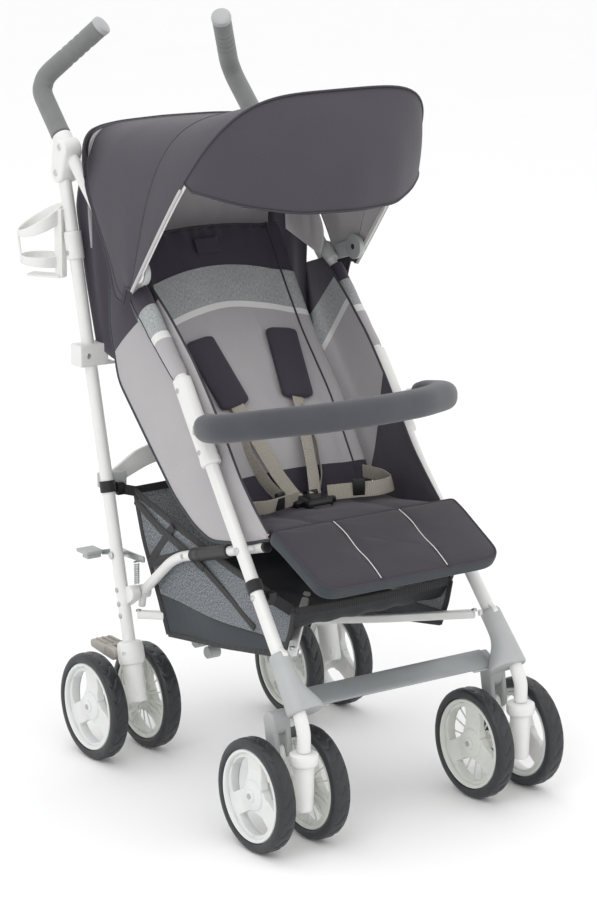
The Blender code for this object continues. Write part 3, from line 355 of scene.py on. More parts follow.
def pieced(line, marks, counts):
    """A dense line split at its points nearest to the (y, z) marks, each part spread evenly."""
    near = [int(np.argmin(np.linalg.norm(line[:, 1:] - mark, axis=1))) for mark in marks]
    cuts = [0, *near, len(line) - 1]
    parts = [evenly(line[a:b + 1], count + 1)[1:] for a, b, count in zip(cuts[:-1], cuts[1:], counts)]
    return np.concatenate([line[:1]] + parts)


def cushion(outline, place, half, crown, grooves=None, top=16, belly=0.0015):
    """A stuffed pad from rings of its outline, in its own flat frame. Over the top, a ring drawn
    in to the share k of the outline rises by crown (1 - k^3); the side bulges by belly; the
    underside is flat. Place turns (across, along, height) into space. Grooves sinks the top."""
    o = np.asarray(outline, float)
    middle = (o.max(axis=0) + o.min(axis=0)) / 2
    k = np.concatenate((np.linspace(0.01, 0.9, top), (0.94, 0.97, 0.99, 0.998), np.ones(4),
                        (0.998, 0.99, 0.95), np.linspace(0.85, 0.01, 8)))
    flat = half - 0.0035
    edge = (half - 0.0003, half - 0.0008, half - 0.0018, half - 0.0028, flat, flat / 3, -flat / 3, -flat,
            -half + 0.0022, -half + 0.0008, -half)
    h = np.concatenate((np.full(top, half), edge, np.full(8, -half)))
    h = h + np.concatenate((crown * (1 - k[:top] ** 3), np.zeros(len(k) - top)))
    out = np.zeros(len(k))
    out[top + 4:top + 8] = belly * np.array((0.4, 1.0, 1.0, 0.4))
    flatwise = middle + (o - middle)[None] * k[:, None, None]
    flatwise = flatwise + unit(o - middle)[None] * out[:, None, None]
    height = np.repeat(h[:, None], len(o), axis=1)
    if grooves is not None:
        height = height - grooves(flatwise[..., 0], flatwise[..., 1]) * (height > 0)
    shell = lattice(place(flatwise[..., 0], flatwise[..., 1], height), capped=True)
    shell["top"] = top + 3
    return shell


def swell(piece, pinned, cap, pressure):
    """Blows the cloth out with a cloth simulation over 20 frames, in its own box of air, held at
    the pinned points. No point may move farther than cap."""
    mesh = piece.data
    rest = np.empty(len(mesh.vertices) * 3, np.float32)
    mesh.vertices.foreach_get("co", rest)
    rest = rest.reshape(-1, 3)
    held = piece.vertex_groups.new(name="held")
    held.add([int(k) for k in np.flatnonzero(pinned)], 1.0, "REPLACE")
    work = piece.modifiers.new("Air", "CLOTH")
    work.settings.quality = 6
    work.settings.mass = 0.3
    work.settings.tension_stiffness = work.settings.compression_stiffness = 20.0
    work.settings.bending_stiffness = 0.6
    work.settings.use_pressure = True
    work.settings.uniform_pressure_force = pressure
    work.settings.vertex_group_mass = "held"
    work.settings.effector_weights.gravity = 0.0
    work.collision_settings.use_collision = False
    work.point_cache.frame_start, work.point_cache.frame_end = 1, 20
    for frame_number in range(1, 21):
        SCENE.frame_set(frame_number)
    blown = piece.evaluated_get(bpy.context.evaluated_depsgraph_get()).to_mesh()
    moved = np.empty(len(rest) * 3, np.float32)
    blown.vertices.foreach_get("co", moved)
    move = moved.reshape(-1, 3) - rest
    size = np.linalg.norm(move, axis=1, keepdims=True)
    move *= np.minimum(1.0, cap / np.maximum(size, 1e-9))
    piece.modifiers.remove(work)
    piece.vertex_groups.remove(held)
    mesh.vertices.foreach_set("co", (rest + move).astype(np.float32).ravel())
    mesh.update()
    SCENE.frame_set(1)
    return piece


def crumple(piece):
    """Gives the cloth its own copy of its mesh."""
    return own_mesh(piece)


def stuffed(piece, held, cap, pressure=4.0):
    """Blows a pad out between its held points."""
    swell(piece, held.ravel(), cap, pressure)
    return crumple(piece)


def border(corners, ease, count):
    """A sheet's border line: a rounded path through corners, with its points at even distances."""
    return evenly(eased(corners, ease), count)


def hung(name, shell, grid, finish, wall, stands_for=(), lining=None):
    """A sheet on the seat's body that hangs from other pieces. Wall is its thickness and where
    that lies: 0 for both sides of the grid, -1 for behind it."""
    panel = build(name, shell, finish, "seat", stands_for, sharp=70.0)
    if lining:
        panel.data.materials.append(lining)
    thick(panel, *wall, 1 if lining else 0)
    cloth(panel, grid)
    return crumple(panel)


# Finishes


def linear(code):
    """An sRGB hex colour as linear RGBA."""
    c = np.array([int(code[k:k + 2], 16) for k in (1, 3, 5)]) / 255.0
    c = np.where(c <= 0.04045, c / 12.92, ((c + 0.055) / 1.055) ** 2.4)
    return (*(float(v) for v in c), 1.0)


def add(tree, kind, links=None, **settings):
    """Adds one node: settings are its own properties, links are its inputs' values or sources."""
    made = tree.nodes.new(kind)
    for key, value in settings.items():
        setattr(made, key, value)
    for key, value in (links or {}).items():
        if isinstance(value, bpy.types.NodeSocket):
            tree.links.new(value, made.inputs[key])
        else:
            made.inputs[key].default_value = value
    return made


def maths(tree, kind, *values, **settings):
    """The result of one sum: a Math node of a kind, over its two or three values."""
    return add(tree, "ShaderNodeMath", dict(enumerate(values)), operation=kind, **settings).outputs[0]


def on_object(tree):
    """The place on the object, in metres."""
    return add(tree, "ShaderNodeTexCoord").outputs["Object"]


def on_cloth(tree):
    """The place on the cloth's own map, in metres."""
    return add(tree, "ShaderNodeUVMap", uv_map="cloth").outputs["UV"]


def noise(tree, place, scale, detail, roughness=0.5):
    return add(tree, "ShaderNodeTexNoise", {"Vector": place, "Scale": scale, "Detail": detail,
                                            "Roughness": roughness}).outputs["Fac"]


def ranged(tree, value, low, high, to_low, to_high):
    """A value from low to high, turned evenly into one from to_low to to_high."""
    return add(tree, "ShaderNodeMapRange", {"Value": value, "From Min": low, "From Max": high,
                                            "To Min": to_low, "To Max": to_high}).outputs["Result"]


def coloured(tree, shader, share, light, dark):
    """The base colour: dark where share is 0, light where it is 1."""
    shade = add(tree, "ShaderNodeMix", {0: share, 6: linear(dark), 7: linear(light)}, data_type="RGBA")
    tree.links.new(shade.outputs[2], shader.inputs["Base Color"])


def crossed(tree, place, period_mm):
    """A sine across the map times a sine along it, one period in two threads."""
    parts = add(tree, "ShaderNodeSeparateXYZ", {0: place})
    waves = []
    for axis in ("X", "Y"):
        turn = maths(tree, "MULTIPLY", parts.outputs[axis], 1000.0 * math.pi / period_mm)
        waves.append(maths(tree, "SINE", turn))
    return maths(tree, "MULTIPLY", *waves)


def raised(tree, shader, height, strength, distance):
    """Bump from a height, into the shader."""
    bump = add(tree, "ShaderNodeBump", {"Height": height, "Strength": strength, "Distance": distance})
    tree.links.new(bump.outputs["Normal"], shader.inputs["Normal"])


def started(name, **sockets):
    """A material with the values that are the same all over it, and its tree and shader."""
    made = bpy.data.materials.new(name)
    made.use_nodes = True
    tree = made.node_tree
    shader = tree.nodes["Principled BSDF"]
    for key, value in sockets.items():
        shader.inputs[key.replace("_", " ")].default_value = value
    return made, tree, shader


def moulded(name, light, dark, roughness, grain_mm=1.4, grain=0.10, patch_mm=45.0, **sockets):
    """Injection-moulded or coated: a soft change of shade over patch_mm, and a fine skin of
    grain_mm as bump, with a little dirt-dulled gloss where the shade is darker."""
    made, tree, shader = started(name, Roughness=roughness, **sockets)
    place = on_object(tree)
    patch = noise(tree, place, 1000.0 / patch_mm, 3.0, 0.55)
    coloured(tree, shader, patch, light, dark)
    skin = noise(tree, place, 1000.0 / grain_mm, 2.0)
    gloss = ranged(tree, patch, 0.3, 0.7, roughness + 0.06, roughness - 0.04)
    tree.links.new(gloss, shader.inputs["Roughness"])
    raised(tree, shader, skin, grain, 0.0004)
    return made


def woven(name, light, dark, thread_mm=1.5, relief=0.25, slub=0.35, roughness=0.85, streak=(1.0, 5.0),
          crease=0.0, slub_mm=1.1, **sockets):
    """Plain-woven cloth on its own map, in metres: the height is the product of a sine across
    and a sine along, one period in two threads, and slubs are noise drawn out along the thread.
    Crease adds the broad soft unevenness of cloth that is only lightly stretched."""
    made, tree, shader = started(name, Roughness=roughness, **sockets)
    place = on_cloth(tree)
    weave = crossed(tree, place, thread_mm)
    long = add(tree, "ShaderNodeMapping", {"Vector": place, "Scale": (1.0 / streak[0], 1.0 / streak[1], 1.0)})
    slubs = noise(tree, long.outputs[0], 1000.0 / slub_mm, 4.0, 0.65)
    patch = noise(tree, on_object(tree), 16.0, 3.0)
    both = maths(tree, "MULTIPLY_ADD", slubs, slub, 0.5 - slub / 2)
    broad = maths(tree, "MULTIPLY_ADD", patch, 0.35, both)
    tone = maths(tree, "MULTIPLY_ADD", weave, 0.06, broad, use_clamp=True)
    coloured(tree, shader, tone, light, dark)
    threads = add(tree, "ShaderNodeBump", {"Height": weave, "Strength": relief, "Distance": 0.0004})
    if crease:
        folds = add(tree, "ShaderNodeBump", {"Height": patch, "Strength": crease,
                                             "Distance": 0.01, "Normal": threads.outputs[0]})
        tree.links.new(folds.outputs[0], shader.inputs["Normal"])
    else:
        tree.links.new(threads.outputs[0], shader.inputs["Normal"])
    return made


def ribbed_webbing(name, light, dark):
    """Polypropylene webbing: a rib across it every 3.2 mm."""
    made, tree, shader = started(name, Roughness=0.7, Sheen_Weight=0.15)
    place = on_cloth(tree)
    parts = add(tree, "ShaderNodeSeparateXYZ", {0: place})
    rib = maths(tree, "SINE", maths(tree, "MULTIPLY", parts.outputs["Y"], 2000.0 * math.pi / 3.2))
    tone = maths(tree, "MULTIPLY_ADD", rib, 0.13, noise(tree, place, 500.0, 3.0), use_clamp=True)
    coloured(tree, shader, tone, light, dark)
    raised(tree, shader, rib, 0.5, 0.0005)
    return made


def closed_cell_foam(name, light, dark, roughness=0.85):
    """Expanded foam: a skin of 0.8 mm cells, drawn at 1.6 mm so that it shows, and pale scuffs."""
    made, tree, shader = started(name, Roughness=roughness, Sheen_Weight=0.25, Sheen_Roughness=0.6)
    place = on_object(tree)
    cells = add(tree, "ShaderNodeTexVoronoi", {"Vector": place, "Scale": 1000.0 / 1.6}).outputs["Distance"]
    tone = maths(tree, "MULTIPLY_ADD", cells, 0.35, noise(tree, place, 35.0, 4.0), use_clamp=True)
    coloured(tree, shader, tone, light, dark)
    raised(tree, shader, cells, 0.35, 0.0005)
    return made


def plated(name, light, dark, roughness):
    """Zinc-plated or brushed steel: fine drawn streaks change its gloss along Z."""
    made, tree, shader = started(name, Metallic=1.0, Roughness=roughness)
    drawn = add(tree, "ShaderNodeMapping", {"Vector": on_object(tree), "Scale": (1.0, 1.0, 0.08)})
    streaks = noise(tree, drawn.outputs[0], 900.0, 2.0)
    coloured(tree, shader, streaks, light, dark)
    gloss = ranged(tree, streaks, 0.0, 1.0, roughness - 0.08, roughness + 0.12)
    tree.links.new(gloss, shader.inputs["Roughness"])
    return made


def knitted_net(name, light, dark, hole_mm=3.2, open_share=0.45):
    """Warp-knitted net: holes where the product of two sines is far from 0. Real holes of 1.5 mm are
    drawn at 3.2 mm so that they show, and they let only part of the light through."""
    made, tree, shader = started(name, Roughness=0.8)
    place = on_cloth(tree)
    depth = maths(tree, "ABSOLUTE", crossed(tree, place, hole_mm))
    clear = ranged(tree, depth, 0.25, 0.6, 1.0, 1.0 - open_share)
    heather = ranged(tree, noise(tree, place, 420.0, 5.0, 0.7), 0.38, 0.62, 0.0, 1.0)
    coloured(tree, shader, heather, light, dark)
    tree.links.new(clear, shader.inputs["Alpha"])
    return made


# Steel tube under a white powder coat: bright, with a soft gloss and a faint orange peel.
WHITE_STEEL = moulded("powder_coated_steel_white", "#e6e6e5", "#dcdcda", 0.33, 2.2, 0.06,
                      Coat_Weight=0.25, Coat_Roughness=0.25)
# Polypropylene, moulded: slightly warmer and duller than the coat, with a spark-eroded skin.
WHITE_PLASTIC = moulded("polypropylene_moulded_white", "#e6e6e4", "#dcdcd9", 0.42, 1.2, 0.10)
# Glass-filled nylon of the rims: pale, a little translucent at its thin walls.
RIM_NYLON = moulded("nylon_moulded_rim", "#e4e4e3", "#d8d9d7", 0.38, 1.5, 0.06,
                    Subsurface_Weight=0.06)
# The same nylon unpainted on the ribbed inner wheels: a faint green cast.
RIM_NYLON_RAW = moulded("nylon_moulded_rim_inner", "#dfe0dc", "#cfd1c9", 0.45, 1.5, 0.08)
# Mid-grey polypropylene of the swivel locks, brackets and canopy clamps.
GREY_PLASTIC = moulded("polypropylene_moulded_grey", "#b3b5b5", "#a5a8a8", 0.45, 1.2, 0.12)
# Warm grey of the brake pedals.
TAUPE_PLASTIC = moulded("polypropylene_moulded_taupe", "#b5b0aa", "#9c968f", 0.45, 1.2, 0.12)
# Painted aluminium strip between the front legs: silver-grey with a satin face.
STRIP_METAL = moulded("aluminium_painted_grey", "#a2a5a7", "#8f9395", 0.36, 2.0, 0.04, Metallic=0.35)
# Polyoxymethylene buckles and webbing stays: black, softly shiny.
BLACK_PLASTIC = moulded("acetal_moulded_black", "#1d1c1f", "#131214", 0.35, 1.0, 0.08)
# Foamed EVA tyre: charcoal, matt on its face and a little polished on its shoulders.
TYRE = moulded("eva_foam_tyre", "#2f3033", "#232427", 0.42, 1.8, 0.22, 18.0)
# Nitrile foam of the handle grips: mid grey, dry and finely pitted.
GRIP_FOAM = closed_cell_foam("nitrile_foam_grey", "#7a7c7c", "#656867")
# Foam under a knitted skin on the bumper bar: slate grey.
BUMPER_FOAM = closed_cell_foam("foam_covered_slate", "#3c3d45", "#303139", 0.72)
ZINC = plated("zinc_plated_steel", "#c8cbcb", "#a3a6a6", 0.32)
RIVET = plated("steel_rivet", "#d8d9d9", "#b5b7b7", 0.28)

# Polyester canvas of the canopy, plain woven, two warm slate tones; the threads of 0.4 mm are
# drawn at 1.4 mm so that a grain shows.
CANOPY = woven("polyester_canvas_slate", "#444149", "#343138", 1.4, 0.18, 0.25, 0.78, crease=0.12,
               Sheen_Weight=0.10, Sheen_Roughness=0.5)
# Its lining: pale grey taffeta, thin and smooth.
LINING = woven("polyester_taffeta_lining", "#c2c0c1", "#aaa8aa", 1.2, 0.10, 0.15, 0.8, crease=0.25,
               Sheen_Weight=0.1)
# The seat's main cloth: light warm grey.
MAIN_CLOTH = woven("polyester_oxford_light_grey", "#b1aeb0", "#9a979a", 1.4, 0.18, 0.18, 0.85,
                   crease=0.12, Sheen_Weight=0.15)
# Head panel, pads and seat: dark aubergine-navy.
NAVY_CLOTH = woven("polyester_oxford_navy", "#3a3541", "#2a2631", 1.4, 0.16, 0.2, 0.85, crease=0.15,
                   Sheen_Weight=0.15)
# Melange band: grey and white fibres spun together, so it is streaked along its threads.
MELANGE = woven("polyester_melange_grey", "#b4b7b8", "#5b5f62", 1.6, 0.3, 1.6, 0.9, (1.0, 2.5), slub_mm=2.0)
# Top of the leg rest: dark slate canvas; its side band is a bluer nylon.
REST_CLOTH = woven("polyester_canvas_charcoal", "#3b373e", "#2c292f", 1.4, 0.2, 0.22, 0.85, crease=0.1,
                   Sheen_Weight=0.15)
SIDE_NYLON = woven("nylon_slate_blue", "#31383e", "#262c31", 1.2, 0.14, 0.15, 0.7, crease=0.2,
                   Sheen_Weight=0.1)
# White grosgrain trim and stitching thread.
WHITE_TRIM = woven("grosgrain_white", "#e2e2e1", "#cfcfce", 1.6, 0.4, 0.2, 0.8)
# Dark satin piping along the seams.
PIPING = woven("piping_satin_dark", "#3b373f", "#2a272d", 1.2, 0.3, 0.2, 0.6)
# Black binding tape and webbing of the basket.
BLACK_TAPE = ribbed_webbing("polypropylene_webbing_black", "#232225", "#131215")
# Beige-grey webbing of the harness.
WEBBING = ribbed_webbing("polypropylene_webbing_beige", "#b3ada2", "#968f84")
# Basket: heather knit that lets a little light through, and slate nylon below it.
NET = knitted_net("polyester_net_heather", "#9a9fa3", "#43484e", 3.2, 0.30)
BASKET_NYLON = woven("nylon_taffeta_black_slate", "#26272c", "#1b1c20", 1.3, 0.15, 0.2, 0.6, crease=0.35)


# Lines that the frame's pieces share, for the left side

HALF_FRONT, HALF_REAR = 0.1860, 0.1740
FRONT_PAIR, REAR_PAIR = 0.0890, 0.0910
FRONT_AXLE, REAR_AXLE, KINGPIN = -0.1810, 0.2650, -0.2287
WHEEL_R = 0.0795
TUBE_R = 0.0095
BENDS = np.array(((0.1860, -0.2287, 0.1454), (0.1860, -0.2287, 0.1815), (0.1693, -0.0073, 0.4500),
                  (0.1675, 0.1012, 0.6000), (0.1705, 0.4300, 0.9160), (0.1690, 0.4830, 0.9700),
                  (0.1030, 0.4060, 1.0580)))
LEG_TOP, LEG_FOOT = np.array((0.174, 0.4025, 0.849)), np.array((0.174, 0.219, 0.100))
# Pivots in (y, z): the swivel lock's, the brake pedal's, the side link's catch, and the hood's
LATCH, BRAKE, CATCH, HINGE = (-0.1710, 0.1320), (0.2600, 0.1540), (0.2385, 0.2496), (0.174, 0.737)
# The foot strip's middle and its turn about X
STRIP_AT, STRIP_TURN = (0.0, -0.186, 0.204), about(0, -63.4)
LEG_AXIS = unit(LEG_TOP - LEG_FOOT)
TUBE_AXIS = unit(BENDS[4] - BENDS[3])


def main_at(z):
    """The front and handle tube's middle at height z, on its straight runs."""
    z = np.asarray(z, float)
    return np.stack([np.interp(z, BENDS[1:5, 2], BENDS[1:5, k]) for k in range(3)], axis=-1)


def leg_at(z):
    t = ((np.asarray(z, float) - LEG_FOOT[2]) / (LEG_TOP[2] - LEG_FOOT[2]))[..., None]
    return LEG_FOOT + (LEG_TOP - LEG_FOOT) * t


def brace_y(side):
    """Where an arm of the rear brace stands, behind the legs: the left one outside the right one."""
    return leg_at(0.4240)[1] + 0.00977 + 0.004 + (0.0 if side == "right" else 0.0070)


def axle_rods(x, y, pair):
    """The hub between two wheels of a pair, and the axle whose ends stand out of their caps."""
    hub, reach = pair / 2 - 0.0130, pair / 2 + 0.0140
    return [rod((x - hub, y, WHEEL_R), (x + hub, y, WHEEL_R), 0.0120, 36, edge=0.0015),
            rod((x - reach, y, WHEEL_R), (x + reach, y, WHEEL_R), 0.0040, 24, ZINC)]


def sided(points, sign):
    """The left side's points, or their mirror on the right side."""
    return np.asarray(points, float) * np.array((sign, 1.0, 1.0))


def rivet(at, axis, radius=0.0042, finish=None):
    """A domed head: its height falls from the middle as a quarter of an ellipse."""
    t = np.linspace(0.02, 1.0, 7)
    profile = np.stack((radius * t, 0.0022 * np.sqrt(np.maximum(1 - t ** 2, 0.0))), axis=1)
    profile = np.vstack((profile, ((radius, -0.0015),)))
    return turned(profile, at, axis, 20, finish or RIVET)


def cross_screw(at, axis, radius=0.0040):
    """A pan head with a cross: the recess is the sum of two narrow troughs."""
    axis = unit(np.asarray(axis, float))
    first = unit(np.cross(axis, (0.0, 0.31, 0.95)))
    second = np.cross(axis, first)
    r, a = np.linspace(0.02, 1.0, 9)[:, None] * radius, turns(32)
    x, y = r * np.cos(a), r * np.sin(a)
    cross = np.exp(-(x / 0.0006) ** 2) * (np.abs(y) < 0.6 * radius) + \
        np.exp(-(y / 0.0006) ** 2) * (np.abs(x) < 0.6 * radius)
    high = 0.0016 * np.sqrt(np.maximum(1 - (r / radius) ** 2, 0.0)) - 0.0007 * np.minimum(cross, 1.0)
    grid = (np.asarray(at, float) + high[..., None] * axis + x[..., None] * first + y[..., None] * second)
    rim = grid[-1:] - axis * 0.0012
    return lattice(np.concatenate((grid, rim)), capped=True, finish=ZINC)


# Side frames

for side, sign in SIDES:
    path = eased(BENDS, (0.0, 0.075, 0.05, 0.05, 0.03, 0.10, 0.0), 0.004)
    whole = [tube(sided(path, sign), TUBE_R)]
    pivot, bolt = main_at(0.385), main_at(0.260)
    whole.append(rod(sided(pivot, sign), sided((0.1565, pivot[1], pivot[2]), sign), 0.0050))
    whole.append(rod(sided(bolt, sign), sided((0.1640, -0.1580, 0.2620), sign), 0.0045))
    whole.append(rivet(sided(pivot + (0.0094, 0, 0), sign), (sign, 0, 0), 0.0055))
    whole.append(rivet(sided(main_at(0.330) + (0.0094, 0, 0), sign), (sign, 0, 0)))
    ear = main_at(0.268) + (0.0, -0.0145, -0.002)
    whole.append(slab(belt(ear[1:], 0.0060, main_at(0.268)[1:], 0.0085), sign * 0.1800, 0.0080, 0.0015,
                      finish=WHITE_PLASTIC))
    whole.append(rivet(sided((0.1840, ear[1], ear[2]), sign), (sign, 0, 0), 0.0035))
    build(f"front_tube_{side}", whole, WHITE_STEEL, f"side_{side}", f"main_tube_{side}")

    # The grip's radius ripples over its last third, as finger rings do, and swells at its ends.
    run = eased(np.vstack((main_at(0.902), BENDS[5:])), (0.0, 0.10, 0.0), 0.002)
    from_end = lengths(run[::-1])[::-1]
    rings = smoothstep(0.030, 0.036, from_end) * (1 - smoothstep(0.078, 0.084, from_end))
    radius = 0.0145 - 0.0009 * rings * (0.5 + 0.5 * np.cos(2 * np.pi * from_end / 0.0120)) ** 3
    radius = radius + 0.0004 * np.exp(-((from_end - from_end[0]) / 0.006) ** 2)
    tip, way = run[-1], unit(run[-1] - run[-4])
    cap = turned([(0.0004, 0.0052), (0.0080, 0.0050), (0.0122, 0.0042), (0.0146, 0.0024), (0.0151, 0.0),
                  (0.0151, -0.0050), (0.0140, -0.0056)], sided(tip - way * 0.0012, sign),
                 sided(way, sign), 40, GREY_PLASTIC)
    build(f"grip_{side}", [tube(sided(run, sign), radius, edge=0.002), cap], GRIP_FOAM, f"side_{side}",
          f"handle_grip_{side}")

    # The joint of the tube and the rear leg: a flat-sided casting that becomes a collar above.
    main = main_at(0.882)
    joint = [slab(belt(main[1:], 0.0185, LEG_TOP[1:], 0.0150, 72), sign * 0.1725, 0.0310, 0.0045),
             tube(sided(main + TUBE_AXIS * np.linspace(-0.012, 0.027, 5)[:, None], sign), 0.0146, edge=0.002)]
    for at in (main + (0.0, -0.004, 0.006), LEG_TOP):
        joint.append(rivet((sign * 0.1882, at[1], at[2]), (sign, 0, 0), 0.0050))
        joint.append(rivet((sign * 0.1568, at[1], at[2]), (-sign, 0, 0), 0.0050))
    build(f"upper_joint_{side}", joint, WHITE_PLASTIC, f"side_{side}", f"knuckle_{side}")

    # The sleeve that carries the bumper bar: a tube with a lip below, and a faceted socket.
    z = np.array((0.4880, 0.4905, 0.4960, 0.4985, 0.530, 0.560, 0.590, 0.5960))
    wide = np.array((0.0140, 0.0145, 0.0145, 0.0138, 0.0139, 0.0139, 0.0136, 0.0130))
    heights = np.linspace(0.4880, 0.5960, 45)
    holder = [tube(sided(main_at(heights), sign), np.interp(heights, z, wide), edge=0.0015)]
    root, mouth = main_at(0.5280), np.array((0.1833, 0.0168, 0.5442))
    holder.append(tube(sided(np.linspace(root, mouth, 5), sign), np.linspace(0.0125, 0.0108, 5),
                       (0, 0, 1), 8))
    holder.append(brick(sided((0.1836, 0.0310, 0.5375), sign), (0.0070, 0.0190, 0.0220), 0.004, 0.0015))
    low, high = main_at(0.505) + (0.0134, 0, 0), main_at(0.582) + (0.0134, 0, 0)
    holder += [cross_screw(sided(low, sign), (sign, 0, 0)), cross_screw(sided(high, sign), (sign, 0, 0))]
    build(f"bar_holder_{side}", holder, WHITE_PLASTIC, f"side_{side}", f"armrest_sleeve_{side}")
    press = brick(sided((0.1876, 0.0310, 0.5375), sign), (0.0048, 0.0108, 0.0128), 0.003, 0.0010)
    build(f"release_button_{side}", press, GREY_PLASTIC, f"button_{side}", f"bar_button_{side}")

    # The foot bracket flares inward and forward below: its radius grows with the cube of the
    # cosine towards the strip.
    t = np.linspace(0.0, 1.0, 41)
    middle = main_at(0.1960 + 0.0680 * t)
    a = turns(56)
    inward = np.clip(np.cos(a), 0, None) ** 2.2
    flare = 0.0240 * (1 - smoothstep(0.0, 0.72, t)) ** 1.6
    shell = 0.0146 + 0.0022 * (1 - t)
    shell = shell - 0.0016 * (np.clip(1 - t / 0.04, 0, 1) ** 2 + np.clip(1 - (1 - t) / 0.05, 0, 1) ** 2)
    reach = shell[:, None] + flare[:, None] * inward
    across = unit(np.array((-1.0, 0.10, -0.05)))
    ahead = unit(np.cross(across, unit(main_at(0.25) - main_at(0.20))))
    grid = middle[:, None] + reach[..., None] * (np.cos(a)[:, None] * across + np.sin(a)[:, None] * ahead)
    bracket = [lattice(sided(grid, sign), capped=True)]
    lip = STRIP_TURN @ np.array((0.0, 0.0042, 0.0)) + np.array((0.1470, *STRIP_AT[1:]))
    bracket.append(brick(sided(lip, sign), (0.0480, 0.0048, 0.0370), 0.012, 0.0018, STRIP_TURN))
    bracket.append(cross_screw(sided(main_at(0.232) + (0.0115, -0.0105, -0.0035), sign),
                               sided((0.72, -0.62, -0.25), sign), 0.0036))
    build(f"footrest_bracket_{side}", bracket, GREY_PLASTIC, f"side_{side}", f"foot_bracket_{side}")

    # Canopy clamp: a ring on the tube, an arm and a hinge disc with a black push button.
    at = main_at(0.720)
    ring = at + TUBE_AXIS * np.linspace(-0.0140, 0.0140, 5)[:, None]
    clamp = [tube(sided(ring, sign), 0.0140, edge=0.0015),
             slab(belt(at[1:], 0.0105, HINGE, 0.0122, 64), sign * 0.1840, 0.0080, 0.0018),
             turned([(0.0004, 0.0078), (0.0060, 0.0078), (0.0150, 0.0074), (0.0178, 0.0058), (0.0185, 0.0035),
                     (0.0185, 0.0), (0.0175, -0.0006)], (sign * 0.1802, *HINGE), (sign, 0, 0), 56),
             turned([(0.0003, 0.0012), (0.0050, 0.0010), (0.0062, 0.0), (0.0062, -0.002)],
                    (sign * 0.1880, *HINGE), (sign, 0, 0), 32, BLACK_PLASTIC),
             turned([(0.0003, 0.0008), (0.0040, 0.0006), (0.0050, -0.0005), (0.0050, -0.002)],
                    (sign * 0.1800, *HINGE), (-sign, 0, 0), 32, BLACK_PLASTIC)]
    build(f"canopy_clamp_{side}", clamp, GREY_PLASTIC, f"side_{side}", f"canopy_joint_{side}")

# Casters and rear feet

for side, sign in SIDES:
    x = HALF_FRONT * sign
    stem = eased([(0.0010, 0.1450), (0.0160, 0.1450), (0.0198, 0.1430), (0.0205, 0.1375), (0.0200, 0.1300),
                  (0.0178, 0.1268), (0.0150, 0.1262), (0.0145, 0.1200), (0.0138, 0.0900), (0.0128, 0.0640),
                  (0.0105, 0.0618), (0.0010, 0.0616)], 0.002, 0.0012)
    fork = [turned(stem, (x, KINGPIN, 0), (0, 0, 1), 56),
            slab(belt((KINGPIN, 0.0860), 0.0110, (FRONT_AXLE, WHEEL_R), 0.0160, 64), x, 0.0180, 0.0035),
            slab(belt((FRONT_AXLE, WHEEL_R), 0.0130, LATCH, 0.0070, 56), x, 0.0100, 0.0018),
            *axle_rods(x, FRONT_AXLE, FRONT_PAIR),
            rod((x - 0.0150, *LATCH), (x + 0.0150, *LATCH), 0.0030, 20, ZINC),
            rod((x, KINGPIN, 0.1350), (x, KINGPIN, 0.1700), 0.0050, 20, ZINC)]
    # Three ribs stiffen the web on either side.
    for k in (-1.0, 1.0):
        fork.append(slab(belt((-0.2160, 0.0860), 0.0040, (-0.1960, 0.0800), 0.0040, 32), x + k * 0.0100,
                         0.0060, 0.0012))
    build(f"caster_{side}", fork, WHITE_PLASTIC, f"caster_{side}", f"caster_fork_{side}")

    tip = (-0.1640, 0.1740)
    lobe = [slab(belt(LATCH, 0.0115, tip, 0.0125, 72), x + k * 0.01025, 0.0085, 0.0030) for k in (-1.0, 1.0)]
    lobe.append(slab(belt((-0.1655, 0.1640), 0.0118, tip, 0.0125, 64), x, 0.0230, 0.0012))
    lobe.append(slab(belt((-0.1540, 0.1700), 0.0040, (-0.1560, 0.1790), 0.0035, 32), x, 0.0210, 0.0015))
    lobe += [cross_screw((x + way * 0.0146, *LATCH), (way, 0, 0), 0.0036) for way in (-sign, sign)]
    build(f"swivel_latch_{side}", lobe, GREY_PLASTIC, f"lock_{side}", f"swivel_lock_{side}")

